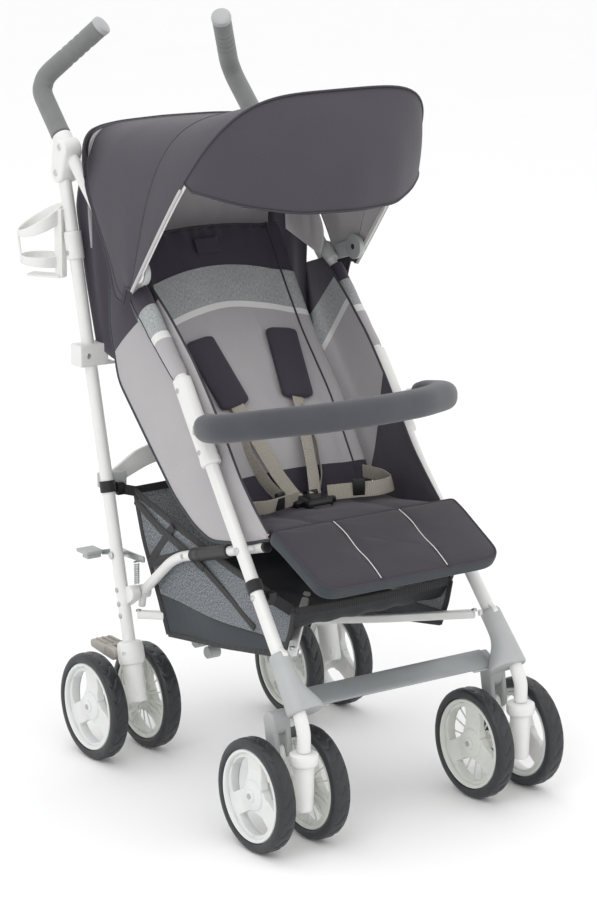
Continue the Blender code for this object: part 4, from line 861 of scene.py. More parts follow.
for side, sign in SIDES:
    x = HALF_REAR * sign
    foot = [tube(sided(np.linspace(LEG_FOOT, LEG_TOP + LEG_AXIS * 0.0095, 12), sign), TUBE_R, edge=0.0015)]
    catch_low = leg_at(0.2380)
    foot.append(slab(belt(CATCH, 0.0115, catch_low[1:], 0.0105, 64), sign * 0.1665, 0.0150, 0.0015))
    arm_y = brace_y(side)
    front, back = leg_at(0.4080)[1] - 0.002, arm_y - 0.004
    foot.append(brick((sign * 0.1620, (front + back) / 2, 0.4080), (0.0420, back - front, 0.0220), 0.005,
                      0.0015, finish=GREY_PLASTIC))
    foot.append(rod((sign * 0.1500, front + 0.003, 0.4080), (sign * 0.1500, arm_y + 0.005, 0.4080), 0.0030,
                    20, ZINC))
    for height, out in ((0.2320, 0.0094), (0.2520, 0.0094), (0.2150, 0.0094), (0.3020, 0.0100)):
        spot = leg_at(height)
        foot.append(rivet((sign * (spot[0] + out), spot[1], spot[2]), (sign, 0, 0), 0.0040, ZINC))
    foot.append(rivet((sign * 0.1590, *CATCH), (-sign, 0, 0), 0.0045, ZINC))
    build(f"rear_tube_{side}", foot, WHITE_STEEL, f"rear_{side}", f"rear_leg_{side}")

    low = leg_at(0.0900)
    profile = eased([(0.0010, 0.0), (0.0130, 0.0), (0.0150, 0.0015), (0.0154, 0.0480), (0.0156, 0.0560),
                     (0.0190, 0.0580), (0.0198, 0.0640), (0.0196, 0.0800), (0.0182, 0.0880), (0.0150, 0.0902),
                     (0.0102, 0.0905), (0.0010, 0.0906)], 0.002, 0.0012)
    case = [turned(profile, sided(low, sign), LEG_AXIS, 56),
            slab(belt((low[1] + 0.004, 0.1050), 0.0150, (REAR_AXLE, WHEEL_R), 0.0165, 64), x, 0.0180, 0.0035),
            slab(belt((leg_at(0.15)[1], 0.1450), 0.0120, BRAKE, 0.0075, 56), x, 0.0100, 0.0018),
            *axle_rods(x, REAR_AXLE, REAR_PAIR),
            rod((x - 0.0160, *BRAKE), (x + 0.0160, *BRAKE), 0.0030, 20, ZINC),
            cross_screw(sided(leg_at(0.1620) + (0.0160, -0.0090, 0.002), sign),
                        sided((0.85, -0.5, 0.1), sign))]
    build(f"rear_foot_{side}", case, WHITE_PLASTIC, f"rear_{side}", f"rear_housing_{side}")

    # Brake pedal: cheeks either side of the ear, a tread that curls up at its end, three ribs.
    cheek = belt(BRAKE, 0.0085, (0.2860, 0.1555), 0.0080, 56)
    pedal = [slab(cheek, x + k * 0.0120, 0.0110, 0.0020) for k in (-1.0, 1.0)]
    tread = eased([(0.2765, 0.1478), (0.3000, 0.1490), (0.3185, 0.1510), (0.3218, 0.1580), (0.3190, 0.1630),
                   (0.3050, 0.1630), (0.2765, 0.1625)], 0.006, 0.002, True)
    pedal.append(slab(tread, x, 0.0360, 0.0025))
    ridge = belt((0.2850, 0.1640), 0.0012, (0.3140, 0.1640), 0.0012, 20)
    pedal += [slab(ridge, x + k * 0.0100, 0.0024, 0.0006) for k in (-1.0, 0.0, 1.0)]
    build(f"brake_tread_{side}", pedal, TAUPE_PLASTIC, f"brake_{side}", f"brake_pedal_{side}")


# Wheels


def sipes(height, angle, radius):
    """S-shaped cuts across the tread: 22 a turn, each bent by a sine over the tyre's width, deepest
    on the crown and gone at the shoulders."""
    across = np.clip(height / 0.0115, -1.0, 1.0)
    phase = (22 * angle / (2 * np.pi) + 0.33 * np.sin(np.pi * across)) % 1.0
    cut = np.exp(-((phase - 0.5) / 0.085) ** 2) * (1 - np.abs(across) ** 6)
    rim = np.exp(-((phase - 0.68) / 0.07) ** 2) * (1 - np.abs(across) ** 6)
    return np.where(radius > 0.0740, -0.0016 * cut - 0.0005 * rim, 0.0)


def spoke(centre, outward, middle, finish):
    """One third of the wheel's disc: its half angle is 60 degrees at the hub and at the rim and
    narrows to a constant width between them, which leaves three windows with round corners.
    Across, it is a loop round its face, its two walls and its back."""
    r = np.concatenate((np.linspace(0.0190, 0.0290, 14), np.linspace(0.0305, 0.0490, 12),
                        np.linspace(0.0505, 0.0605, 14)))
    own = np.arcsin(np.clip(0.0160 / r, 0, 1))
    narrow = np.sqrt(smoothstep(0.0225, 0.0285, r)) * np.sqrt(1 - smoothstep(0.0505, 0.0570, r))
    half = np.radians(60.0) * (1 - narrow) + own * narrow
    face = np.interp(r, (0.019, 0.036, 0.0605), (0.0070, 0.0042, 0.0078))
    back = np.interp(r, (0.019, 0.036, 0.0605), (-0.0080, -0.0060, -0.0085))
    loop = squircle(1.0, 1.0, 7.0, 56)
    angle = middle + half[:, None] * loop[None, :, 0]
    high = (face + back)[:, None] / 2 + (face - back)[:, None] / 2 * loop[None, :, 1]
    high = high - 0.0012 * (1 - loop[None, :, 0] ** 2) * (loop[None, :, 1] > 0)
    # Inside hub and rim the loop closes onto its own middle line.
    high = np.concatenate((0 * high[:1] + (face + back)[0] / 2, high, 0 * high[:1] + (face + back)[-1] / 2))
    angle, r = np.concatenate((angle[:1], angle, angle[-1:])), np.concatenate((r[:1], r, r[-1:]))
    grid = np.stack((centre[0] + outward * high, centre[1] + r[:, None] * np.cos(angle),
                     centre[2] + r[:, None] * np.sin(angle)), axis=-1)
    return lattice(grid, finish=finish)


def wheel(name, centre, outward, body, inner):
    """A tyre with its sipes, a rim barrel, three spokes, a hub and its cap."""
    plastic = RIM_NYLON_RAW if inner else RIM_NYLON
    axis = (outward, 0.0, 0.0)
    barrel = eased([(0.0650, 0.0115), (0.0638, 0.0132), (0.0606, 0.0130), (0.0592, 0.0100), (0.0588, -0.0100),
                    (0.0606, -0.0118), (0.0638, -0.0122), (0.0650, -0.0105)], 0.0022, 0.0011, True)
    hub = eased([(0.0045, 0.0100), (0.0100, 0.0100), (0.0160, 0.0086), (0.0215, 0.0066), (0.0215, -0.0070),
                 (0.0165, -0.0120), (0.0045, -0.0120)], 0.0025, 0.0012, True)
    rim = [turned(barrel, centre, axis, 96, ring=True), turned(hub, centre, axis, 64, ring=True)]
    rim += [spoke(centre, outward, math.radians(90 + 120 * k), plastic) for k in range(3)]
    rim.append(turned([(0.0003, 0.0128), (0.0060, 0.0126), (0.0085, 0.0116), (0.0092, 0.0098),
                       (0.0092, 0.0070)], centre, axis, 40, plastic))
    if inner:      # the back of an inner rim shows its moulding ribs
        for k in np.radians(np.arange(0, 360, 20.0)):
            way = np.array((0.0, math.cos(k), math.sin(k)))
            rim.append(tube(np.asarray(centre) - np.array((outward * 0.0085, 0, 0))
                            + way * np.linspace(0.0170, 0.0590, 4)[:, None], 0.0011, (1, 0, 0), 8))
    build(f"{name}_wheel", rim, plastic, body, f"{name}_rim")
    loop = eased([(0.0652, 0.0112), (0.0668, 0.0136), (0.0705, 0.0140), (0.0748, 0.0134), (0.0782, 0.0108),
                  (0.0796, 0.0060), (0.0798, 0.0), (0.0796, -0.0060), (0.0782, -0.0108), (0.0748, -0.0134),
                  (0.0705, -0.0140), (0.0668, -0.0136), (0.0652, -0.0112)], 0.0022, 0.0012, True)
    loop[:, 0] = np.minimum(loop[:, 0], WHEEL_R)
    build(f"{name}_tread", turned(loop, centre, axis, 440, ring=True, ripple=sipes), TYRE, body,
          f"{name}_tyre", sharp=60.0)


for end, axle, half, pair in (("front", FRONT_AXLE, HALF_FRONT, FRONT_PAIR),
                              ("rear", REAR_AXLE, HALF_REAR, REAR_PAIR)):
    for side, sign in SIDES:
        for which, step in (("outer", sign), ("inner", -sign)):
            name = f"{end}_{side}_{which}"
            wheel(name, (half * sign + step * pair / 2, axle, WHEEL_R), step, name, which == "inner")

# Linkage

for side, sign in SIDES:
    front = main_at(0.385)
    pivot = np.array((0.148, front[1], front[2]))
    rear, bend = np.array((0.148, *CATCH)), np.array((0.148, 0.1500, 0.3220))
    way = unit(pivot - bend)
    line = eased([rear, bend, pivot + way * 0.026], (0.0, 0.10, 0.0), 0.004)
    link = [tube(sided(line, sign), 0.0075),
            rod(sided((0.1405, *rear[1:]), sign), sided((0.1555, *rear[1:]), sign), 0.0105, 32),
            rod(sided(rear, sign), sided((0.148, 0.2440, 0.2255), sign), 0.0055, 20),
            rivet(sided((0.1405, *rear[1:]), sign), (-sign, 0, 0), 0.0050, ZINC)]
    sleeve = bend + way * np.linspace(0.050, 0.150, 26)[:, None]
    bulge = 0.0098 + 0.0004 * np.cos(np.linspace(0, 10 * np.pi, 26)) * (np.linspace(0, 1, 26) < 0.3)
    link.append(tube(sided(sleeve, sign), bulge, finish=BLACK_PLASTIC, edge=0.002))
    link.append(tube(sided(pivot + way * np.linspace(0.021, 0.0275, 4)[:, None], sign), 0.0082,
                     finish=BLACK_PLASTIC, edge=0.0015))
    link.append(cross_screw(sided(bend + way * 0.030 + (0.0075, 0, 0), sign), (sign, 0, 0), 0.0036))
    build(f"side_link_{side}", link, WHITE_STEEL, f"link_{side}", f"seat_link_{side}")

    # Lower cross bar: flat oval tube that bows past the other one.
    a, b = np.array((0.156 * sign, -0.158, 0.262)), np.array((-0.156 * sign, 0.240, 0.215))
    middle = (a + b) / 2 + (0, 0, -0.008 * sign)
    bar = eased([a, a + (middle - a) * 0.55 + (0, 0, -0.0024 * sign), middle,
                 b + (middle - b) * 0.55 + (0, 0, -0.0024 * sign), b], 0.10, 0.008)
    shells = [lattice(carried(bar, squircle(0.0064, 0.0060, 4.5, 32)), capped=True)]
    shells += [rivet(end + (0, 0, 0.0060), (0, 0, 1), 0.0045, ZINC) for end in (a, b)]
    build(f"lower_bar_{side}", shells, WHITE_STEEL, f"bar_{side}", f"cross_bar_{side}")

    # Half of the white arch behind the seat: a moulded plate with a raised rib along its middle.
    y = brace_y(side)
    spine = eased([(0.150, 0.408), (0.130, 0.417), (0.108, 0.429), (0.080, 0.435), (0.040, 0.439),
                   (0.0, 0.440)], 0.05, 0.003)
    s = np.linspace(0, 1, len(spine))
    half = np.interp(s, (0, 0.13, 0.28, 0.47, 0.73, 1.0), (0.0110, 0.0130, 0.0150, 0.0145, 0.0130, 0.0115))
    ahead = unit(np.gradient(spine, axis=0))
    off = np.stack((-ahead[:, 1], ahead[:, 0]), axis=1) * half[:, None]
    off *= 1 if off[0, 1] > 0 else -1
    turn = np.linspace(0, np.pi, 14)[1:-1]
    head = spine[-1] + 0.0115 * np.stack((-np.sin(turn), np.cos(turn)), axis=1)
    tail = spine[0] + 0.0110 * np.stack((np.sin(turn), -np.cos(turn)), axis=1)
    outline = np.vstack((spine + off, head, (spine - off)[::-1], tail))
    arm = [slab(outline * (sign, 1.0), y, 0.0060, 0.0014, axis=1),
           rivet((0.150 * sign, y + 0.0030, 0.408), (0, 1, 0), 0.0055, ZINC)]
    if side == "left":
        arm.append(rivet((0.0, y + 0.0030, 0.440), (0, 1, 0), 0.0055, ZINC))
    build(f"rear_brace_{side}", arm, WHITE_PLASTIC, f"arm_{side}", f"arch_arm_{side}")

# Fold pedal and its spring on the right rear leg

y = float(leg_at(0.3020)[1])
lever = eased([(y - 0.0480, 0.2980), (y + 0.0200, 0.2945), (y + 0.0700, 0.2830), (y + 0.0720, 0.2900),
               (y + 0.0200, 0.3060), (y - 0.0480, 0.3070)], 0.004, 0.002, True)
shells = [slab(lever, -0.1576, 0.0030, 0.0005),
          brick((-0.1711, y + 0.0840, 0.2880), (0.0300, 0.0320, 0.0050), 0.010, 0.0015, finish=GREY_PLASTIC),
          brick((-0.1711, y + 0.0780, 0.2830), (0.0240, 0.0160, 0.0080), 0.006, 0.0015, finish=GREY_PLASTIC),
          rod((-0.1855, y, 0.3020), (-0.1561, y, 0.3020), 0.0024, 20),
          rivet((-0.1855, y, 0.3020), (-1, 0, 0), 0.0055), rivet((-0.1560, y + 0.030, 0.2995), (1, 0, 0)),
          rod((-0.1576, y - 0.0380, 0.2989), (-0.1695, y - 0.0380, 0.2989), 0.0015, 16)]
build("fold_lever", shells, ZINC, "pedal", "pedal_lever")
a = np.linspace(0, 2 * np.pi * 11, 11 * 24)
coil = np.stack((-0.1645 + 0.0036 * np.cos(a), y - 0.0380 + 0.0036 * np.sin(a),
                 0.2650 + 0.0310 * a / a[-1]), axis=1)
build("fold_spring", tube(coil, 0.0008, (0, 0, 1), 10), ZINC, "pedal", "pedal_spring")

# Bottle holder on the right rear leg: two rings, the upper one tall, open sides and a foot

CUP = np.array((-0.2035, 0.4235))
outward = unit(CUP - leg_at(0.75)[:2] * (-1, 1))


def collar(radius, low, high, wall=0.0032):
    """A band round the bottle: its lower and upper edge are functions of the angle."""
    a = turns(96)
    loop = squircle(wall / 2, 1.0, 5.0, 28)
    r = radius + loop[None, :, 0]
    z = (low(a) + high(a))[:, None] / 2 + (high(a) - low(a))[:, None] / 2 * loop[None, :, 1]
    grid = np.stack((CUP[0] + r * np.cos(a)[:, None], CUP[1] + r * np.sin(a)[:, None], z), axis=-1)
    return lattice(grid, wrap=(True, True))


a = math.atan2(outward[1], outward[0])
dip = a + 0.55      # the upper band is lowest and narrowest here
shells = [collar(0.0325, lambda t: 0.7665 - 0.0120 * np.cos(t - dip) + 0.0020 * np.cos(2 * (t - dip)),
                 lambda t: 0.7840 - 0.0185 * np.cos(t - dip)),
          collar(0.0290, lambda t: 0.7130 + 0.0030 * np.cos(t - dip), lambda t: 0.7280 + 0 * t)]
t = np.linspace(0, 1, 24)
r = 0.0323 - 0.0035 * t
waist = np.stack((CUP[0] + r * math.cos(dip), CUP[1] + r * math.sin(dip), 0.7590 - 0.0370 * t), axis=1)
pinch = 0.0055 + 0.0075 * (2 * t - 1) ** 4
section = squircle(1.0, 0.0016, 4, 24)[None] * np.stack((pinch, np.ones(24)), axis=1)[:, None, :]
shells.append(lattice(carried(waist, section, (math.cos(dip), math.sin(dip), 0.0)), capped=True))
turn = about(2, math.degrees(a))
near, low = CUP - outward * 0.0326, CUP - outward * 0.0080
shells += [brick((*near, 0.7470), (0.0120, 0.0160, 0.1020), 0.004, 0.0015, turn),
           brick((*low, 0.6980), (0.0540, 0.0240, 0.0036), 0.010, 0.0012, turn),
           tube(sided(leg_at(np.linspace(0.7250, 0.7650, 5)), -1), 0.0130, edge=0.002),
           cross_screw((-0.1868, leg_at(0.735)[1], 0.7350), (-1, 0, 0))]
build("bottle_holder", shells, WHITE_PLASTIC, "rear_right", "cup_holder")

# Open clip below it: a block on the leg with an upper and a lower jaw
y = float(leg_at(0.5900)[1])
shells = [brick((-0.1735, y, 0.5900), (0.0470, 0.0300, 0.0320), 0.006, 0.0022),
          brick((-0.1490, y, 0.6040), (0.0200, 0.0300, 0.0040), 0.006, 0.0012),
          brick((-0.1490, y, 0.5760), (0.0200, 0.0300, 0.0040), 0.006, 0.0012),
          brick((-0.1480, y + 0.0130, 0.5900), (0.0180, 0.0040, 0.0280), 0.003, 0.0012),
          cross_screw((-0.1840, y - 0.0150, 0.5900), (0, -1, 0))]
build("leg_clip", shells, WHITE_PLASTIC, "rear_right", "tube_clip")

# Bumper bar and foot strip

BUMPER = np.array(((0.184, 0.012, 0.545), (0.190, -0.030, 0.552), (0.150, -0.090, 0.566),
                   (0.080, -0.127, 0.572), (0.0, -0.137, 0.574)))
line = eased(np.vstack((sided(BUMPER, -1), BUMPER[-2::-1])), 0.07, 0.004)
arc = np.linspace(0, 1, len(line))
fat = 1.0 - 0.12 * (np.exp(-(arc / 0.012) ** 2) + np.exp(-((1 - arc) / 0.012) ** 2))
skin = lattice(carried(line, squircle(0.0205, 0.0200, 2.35, 56), scale=fat), capped=True)
under = carried(line, np.array(((-0.0168, -0.0140), (-0.0150, -0.0160))), scale=fat)
welt = tube(under.mean(axis=1), 0.0014, (0, 0, 1), 10, PIPING)
bumper = build("bumper_bar_foam", [skin, welt], BUMPER_FOAM, "bumper", "bumper_bar")
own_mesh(bumper)

# A painted strip, slightly arched across, with rolled edges.
x = np.linspace(-0.1560, 0.1560, 80)
loop = squircle(0.0180, 0.0015, 7.0, 56)
high = loop[:, 1] - 0.0016 * (loop[:, 0] / 0.018) ** 2 + 0.0009
flatwise = np.stack(np.broadcast_arrays(x[:, None], -high[None, :], loop[None, :, 0]), axis=-1)
strip = lattice(flatwise @ STRIP_TURN.T + STRIP_AT, capped=True)
strip = build("foot_rest_strip", strip, STRIP_METAL, "seat", "foot_strip")
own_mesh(strip)

# Hood

TIP = np.array((0.192, 0.700))
HOOD_X = 0.195      # half of the hood's width


def hoop(crest, half=HOOD_X, inset=0.0, low=0.0500, count=81, power=4.4):
    """An arch over both sides: |x / half|^power + (r / top)^power = 1, in the plane through the
    hood's two tips and a crest point, where r is the distance from the tips' line."""
    way = np.asarray(crest, float) - TIP
    top = np.linalg.norm(way) - inset
    way = way / np.linalg.norm(way)
    first = math.asin((low / top) ** (power / 2))
    a = np.linspace(first, np.pi - first, 900)
    x = -half * np.sign(np.cos(a)) * np.abs(np.cos(a)) ** (2 / power)
    r = top * np.sin(a) ** (2 / power)
    return evenly(np.stack((x, TIP[0] + way[0] * r, TIP[1] + way[1] * r), axis=1), count)


REAR_LINE = np.array(((0.1940, 0.2080, 0.6880), (0.1935, 0.2320, 0.6910), (0.1930, 0.2460, 0.7350),
                      (0.1915, 0.2700, 0.7720), (0.190, 0.313, 0.836), (0.190, 0.322, 0.880),
                      (0.183, 0.330, 0.903), (0.160, 0.352, 0.914), (0.125, 0.376, 0.917),
                      (0.080, 0.394, 0.918), (0.0, 0.405, 0.918)))
rear_line = evenly(eased(np.vstack((sided(REAR_LINE, -1), REAR_LINE[-2::-1])), 0.045, 0.003), 81)
rows = [hoop((0.1050, 0.9642), 0.1930, 0.0016, 0.012), hoop((0.2, 0.946), 0.1946, 0.0006, 0.012),
        hoop((0.28, 0.934), 0.1946, 0.0004, 0.012), hoop((0.36, 0.922), 0.1940, 0.0010, 0.013), rear_line]
rear_hood = through(rows, 46)


def hemmed(grid, radius, finish, which):
    """A round hem along border lines of a grid."""
    lines = {"first": grid[0], "last": grid[-1], "left": grid[:, 0], "right": grid[:, -1]}
    return [tube(lines[name], radius, (0, 0.3, 1) if name in ("first", "last") else (1, 0, 0), 10, finish)
            for name in which]


def tipped(shell, grid, reach):
    """The cloth's lowest ends have no lining: quads nearer than reach to the hood's tips."""
    middle = (grid[1:, 1:] + grid[:-1, :-1]) / 2
    near = np.hypot(middle[..., 1] - TIP[0], middle[..., 2] - TIP[1]) < reach
    return zoned(shell, (TIP_CLOTH, near))


TIP_CLOTH = CANOPY.copy()
TIP_CLOTH.name = "polyester_canvas_slate_tips"


def hood_panel(name, grid, body, stands_for, hems):
    """Canvas outside, taffeta inside: the lining is the sheet's own inner side."""
    shell = tipped(open_sheet(grid, (0, 0.15, 1)), grid, 0.045)
    panel = build(name, shell, CANOPY, body, stands_for, sharp=60.0)
    panel.data.materials.clear()
    for own in (CANOPY, LINING, TIP_CLOTH, NAVY_CLOTH):
        panel.data.materials.append(own)
    index = np.zeros(len(panel.data.polygons), np.int32)
    index[shell["zones"][0][1]] = 2
    panel.data.polygons.foreach_set("material_index", index)
    thick(panel, 0.0014, -1.0, 1)
    cloth(panel, grid)
    crumple(panel)
    crumple(build(f"{name}_trim", hems, PIPING, body))


hood_panel("hood_rear_panel", rear_hood, "seat", "canopy_rear",
           hemmed(rear_hood, 0.0017, PIPING, ("last", "left", "right"))
           + [tube(rear_hood[-5], 0.0009, (0, 0.3, 1), 8, PIPING)])

front_rows = [hoop((0.1100, 0.9630), 0.1937, 0.0011, 0.010), hoop((0.0300, 0.9820), low=0.011),
              hoop((-0.0450, 1.0030), low=0.012)]
front_hood = through(front_rows, 26)
bow_line = front_hood[-1]

EDGE = np.array(((0.0, -0.0900, 0.8440), (0.080, -0.0660, 0.8430), (0.140, -0.0230, 0.8520),
                 (0.180, 0.012, 0.866), (HOOD_X, 0.042, 0.872)))
edge_line = eased(np.vstack((sided(EDGE, -1)[::-1], EDGE[1:])), 0.07, 0.003)
edge_line[:, 0] *= HOOD_X / np.abs(edge_line[:, 0]).max()
top_line = evenly(bow_line[bow_line[:, 2] >= 0.8700], 90)
t = np.linspace(0, 1, 26)[:, None]
x = top_line[None, :, 0] + 0 * t
low_y, low_z = (np.interp(x, edge_line[:, 0], edge_line[:, k]) for k in (1, 2))
# The visor bellies forward between the bow's seam and its lower edge.
bulge = 0.0180 * np.sin(np.pi * t) * (1 - (x / HOOD_X) ** 2)
visor = np.stack((x, top_line[None, :, 1] * (1 - t) + low_y * t - bulge,
                  top_line[None, :, 2] * (1 - t) + low_z * t), axis=-1)
bow_ends = bow_line[bow_line[:, 2] <= 0.874]
side_of_bow = [bow_ends[bow_ends[:, 0] * sign > 0] for _, sign in SIDES]
hems = [tube(piece + (0, -0.0010, 0), 0.0024, (1, 0, 0), 10, LINING) for piece in side_of_bow]
hems += hemmed(front_hood, 0.0013, PIPING, ("left", "right"))
hems += hemmed(front_hood, 0.0010, CANOPY, ("first",))
hems.append(tube(top_line + (0, -0.0006, 0.0006), 0.0016, (0, 0.3, 1), 10, PIPING))
hood_panel("hood_front_panel", front_hood, "canopy", "canopy_front", hems)

lid = build("hood_visor", open_sheet(visor, (0, -1, 0.6)), CANOPY, "canopy", (), sharp=60.0)
lid.data.materials.append(LINING)
thick(lid, 0.0022, -1.0, 1)
cloth(lid, visor)
crumple(lid)
hems = hemmed(visor, 0.0016, PIPING, ("last", "left", "right"))
crumple(build("hood_visor_trim", hems, PIPING, "canopy"))

# The bow: a moulded strip in a pocket just inside the front seam, with an eye on each hinge.
face = hoop((-0.0450, 1.0030), 0.1915, 0.0074, 0.0500, 141)
bow = [lattice(carried(face, squircle(0.0014, 0.0035, 4, 20), (0, 0.79, 0.61)), capped=True)]
bow += [turned([(0.0003, 0.0014), (0.0120, 0.0014), (0.0145, 0.0010), (0.0150, 0.0), (0.0145, -0.0010),
                (0.0003, -0.0014)], (0.1901 * sign, *HINGE), (sign, 0, 0), 40) for _, sign in SIDES]
crumple(build("hood_bow", bow, WHITE_PLASTIC, "canopy", "canopy_bow"))

# Seat: a stuffed back, a stuffed base, and their side wings

FACE = eased([(0.048, 0.385), (0.062, 0.410), (0.100, 0.470), (0.140, 0.531), (0.2125, 0.6135),
              (0.265, 0.690), (0.310, 0.765), (0.316, 0.775)], 0.06, 0.003)
# The half width and the half thickness of the backrest's pad
BACK_W, BACK_T = 0.134, 0.0115
# How far the piped seams of the backrest and the grooves of the seat lie from the middle
PIPED_X, GROOVE_X = 0.112, 0.070


def on_face(x, z, lift=0.0):
    """Points of the backrest's front at height z, lifted square to it. Its four soft channels
    are a cosine across, and both its sides turn forward a little towards the wings."""
    x, z = np.broadcast_arrays(np.asarray(x, float), np.asarray(z, float))
    y = np.interp(z, FACE[:, 1], FACE[:, 0])
    slope = np.gradient(FACE[:, 0], FACE[:, 1])
    lean = np.interp(z, FACE[:, 1], slope)
    size = np.sqrt(1 + lean ** 2)
    middle = smoothstep(0.44, 0.50, z) * (1 - smoothstep(0.63, 0.67, z))
    wave = 0.0020 * np.cos(2 * np.pi * x / 0.092) * middle * (1 - (np.abs(x) / 0.14) ** 4)
    hug = 0.0100 * smoothstep(0.095, BACK_W, np.abs(x))
    up = lift + wave + hug + 0.0030 * (1 - (x / BACK_W) ** 2)
    return np.stack((x, y - up / size, z + up * lean / size), axis=-1)


def line_of(centre, fall, power=2.0):
    """A seam across the back: its height falls from the middle as the power of x."""
    return lambda x: centre - fall * (np.abs(x) / BACK_W) ** power


SEAMS = [line_of(0.4020, 0.0), line_of(0.4440, 0.006), line_of(0.6540, 0.027, 1.8),
         line_of(0.6620, 0.027, 1.8), line_of(0.7110, 0.024), line_of(0.7640, 0.010)]
STEPS = (10, 46, 3, 12, 12)
loop = squircle(1.0, 1.0, 9.0, 132)
loop = evenly(np.vstack((loop, loop[:1])) * (BACK_W, BACK_T), 169)[:-1]
x = loop[:, 0]
heights = [SEAMS[0](x)]
for low, high, count in zip(SEAMS[:-1], SEAMS[1:], STEPS):
    heights += [low(x) + (high(x) - low(x)) * k / count for k in range(1, count + 1)]
heights = np.array(heights)
steps = np.arange(len(heights))
ends = np.minimum(1.0, np.minimum(steps, steps[::-1]) / 3 + 0.35)
deep = (loop[:, 1] / BACK_T)[None, :] * np.sqrt(1 - (1 - ends[:, None]) ** 2) * BACK_T
pleats = 0.0016 * np.sin(2 * np.pi * x / 0.023 + 1.5 * np.sin(x * 60)) * (x != 0)
gather = pleats[None, :] * smoothstep(0.735, 0.758, heights) * (loop[:, 1] > 0)[None, :]
grid = on_face(x[None, :] + 0 * heights, heights, deep - BACK_T + gather)
rows_of = np.concatenate([[k] * count for k, count in enumerate(STEPS)])
shell = lattice(grid, capped=True)
quads = (len(heights) - 1, len(x))
zone = np.repeat(rows_of[:, None], len(x), axis=1)
front = np.broadcast_to((loop[:, 1] > -0.004)[None, :], quads)
zoned(shell, (NAVY_CLOTH, (zone == 0) | (zone == 4) | ~front), (WHITE_TRIM, (zone == 2) & front),
      (MELANGE, (zone == 3) & front))
back = build("backrest_pad", shell, MAIN_CLOTH, "back", "backrest", sharp=70.0)
held = np.zeros((len(heights), len(x)), bool)
held[:, loop[:, 1] < 0] = True
held[:4] = held[-3:] = True
for seam in np.cumsum((0,) + STEPS)[1:-1]:
    held[seam] = True
held |= (np.abs(np.abs(x) - PIPED_X) < 0.0035)[None, :] | (np.abs(np.abs(x) - BACK_W) < 0.003)[None, :]
stuffed(back, held, 0.006, 3.0)
z = np.linspace(0.415, 0.760, 60)
seams = [tube(on_face(sign * (PIPED_X + 0 * z), z, 0.0006), 0.0013, (1, 0, 0), 8) for _, sign in SIDES]
x = np.linspace(-0.130, 0.130, 60)
seams.append(tube(on_face(x, SEAMS[5](x) + 0.001, -0.004), 0.0022, (0, 0.6, 1), 10))
seams.append(tube(on_face(x, SEAMS[4](x), 0.0004), 0.0007, (0, 0.6, 1), 8))
crumple(build("backrest_piping", seams, PIPING, "back"))

# The place of a sewn-on label on the head panel: a bare rectangle of the same cloth.
patch_x, patch_z = np.meshgrid(np.linspace(-0.021, 0.019, 14), np.linspace(0.7285, 0.7475, 8))
patch = on_face(patch_x, patch_z, 0.0040)
label = build("head_panel_patch", open_sheet(patch, (0, -1, 0.5)), NAVY_CLOTH, "back")
thick(label, 0.0010, -1.0)
cloth(label, patch)
crumple(label)

SEAT_LINE = eased([(-0.098, 0.405), (-0.060, 0.3995), (0.0, 0.3900), (0.050, 0.3915), (0.095, 0.4020)],
                  0.05, 0.003)


def along(line):
    """Places a pad on a line in the YZ plane: along it by arc length, and square to it."""
    s = lengths(line)
    ahead = unit(np.gradient(line, axis=0))

    def place(across, far, high):
        y, z = (np.interp(far, s, line[:, k]) for k in (0, 1))
        dy, dz = (np.interp(far, s, ahead[:, k]) for k in (0, 1))
        turn = 1.0 if line[-1, 0] > line[0, 0] else -1.0
        return np.stack((across, y - dz * high * turn, z + dy * high * turn), axis=-1)
    return place, float(s[-1])


place, length = along(SEAT_LINE)
outline = eased([(-0.136, 0.0), (0.136, 0.0), (0.136, length), (-0.136, length)], 0.03, 0.005, True)
shell = cushion(outline, place, 0.0105, 0.004,
                lambda x, y: 0.0035 * np.exp(-((np.abs(x) - GROOVE_X) / 0.006) ** 2))
base = build("seat_pad", shell, NAVY_CLOTH, "seat", "seat_sling", sharp=70.0)
points = shell["verts"].reshape(-1, len(outline), 3)
held = np.ones(points.shape[:2], bool)
held[:shell["top"] - 2] = np.abs(np.abs(points[:shell["top"] - 2, :, 0]) - GROOVE_X) < 0.004
stuffed(base, held, 0.005)


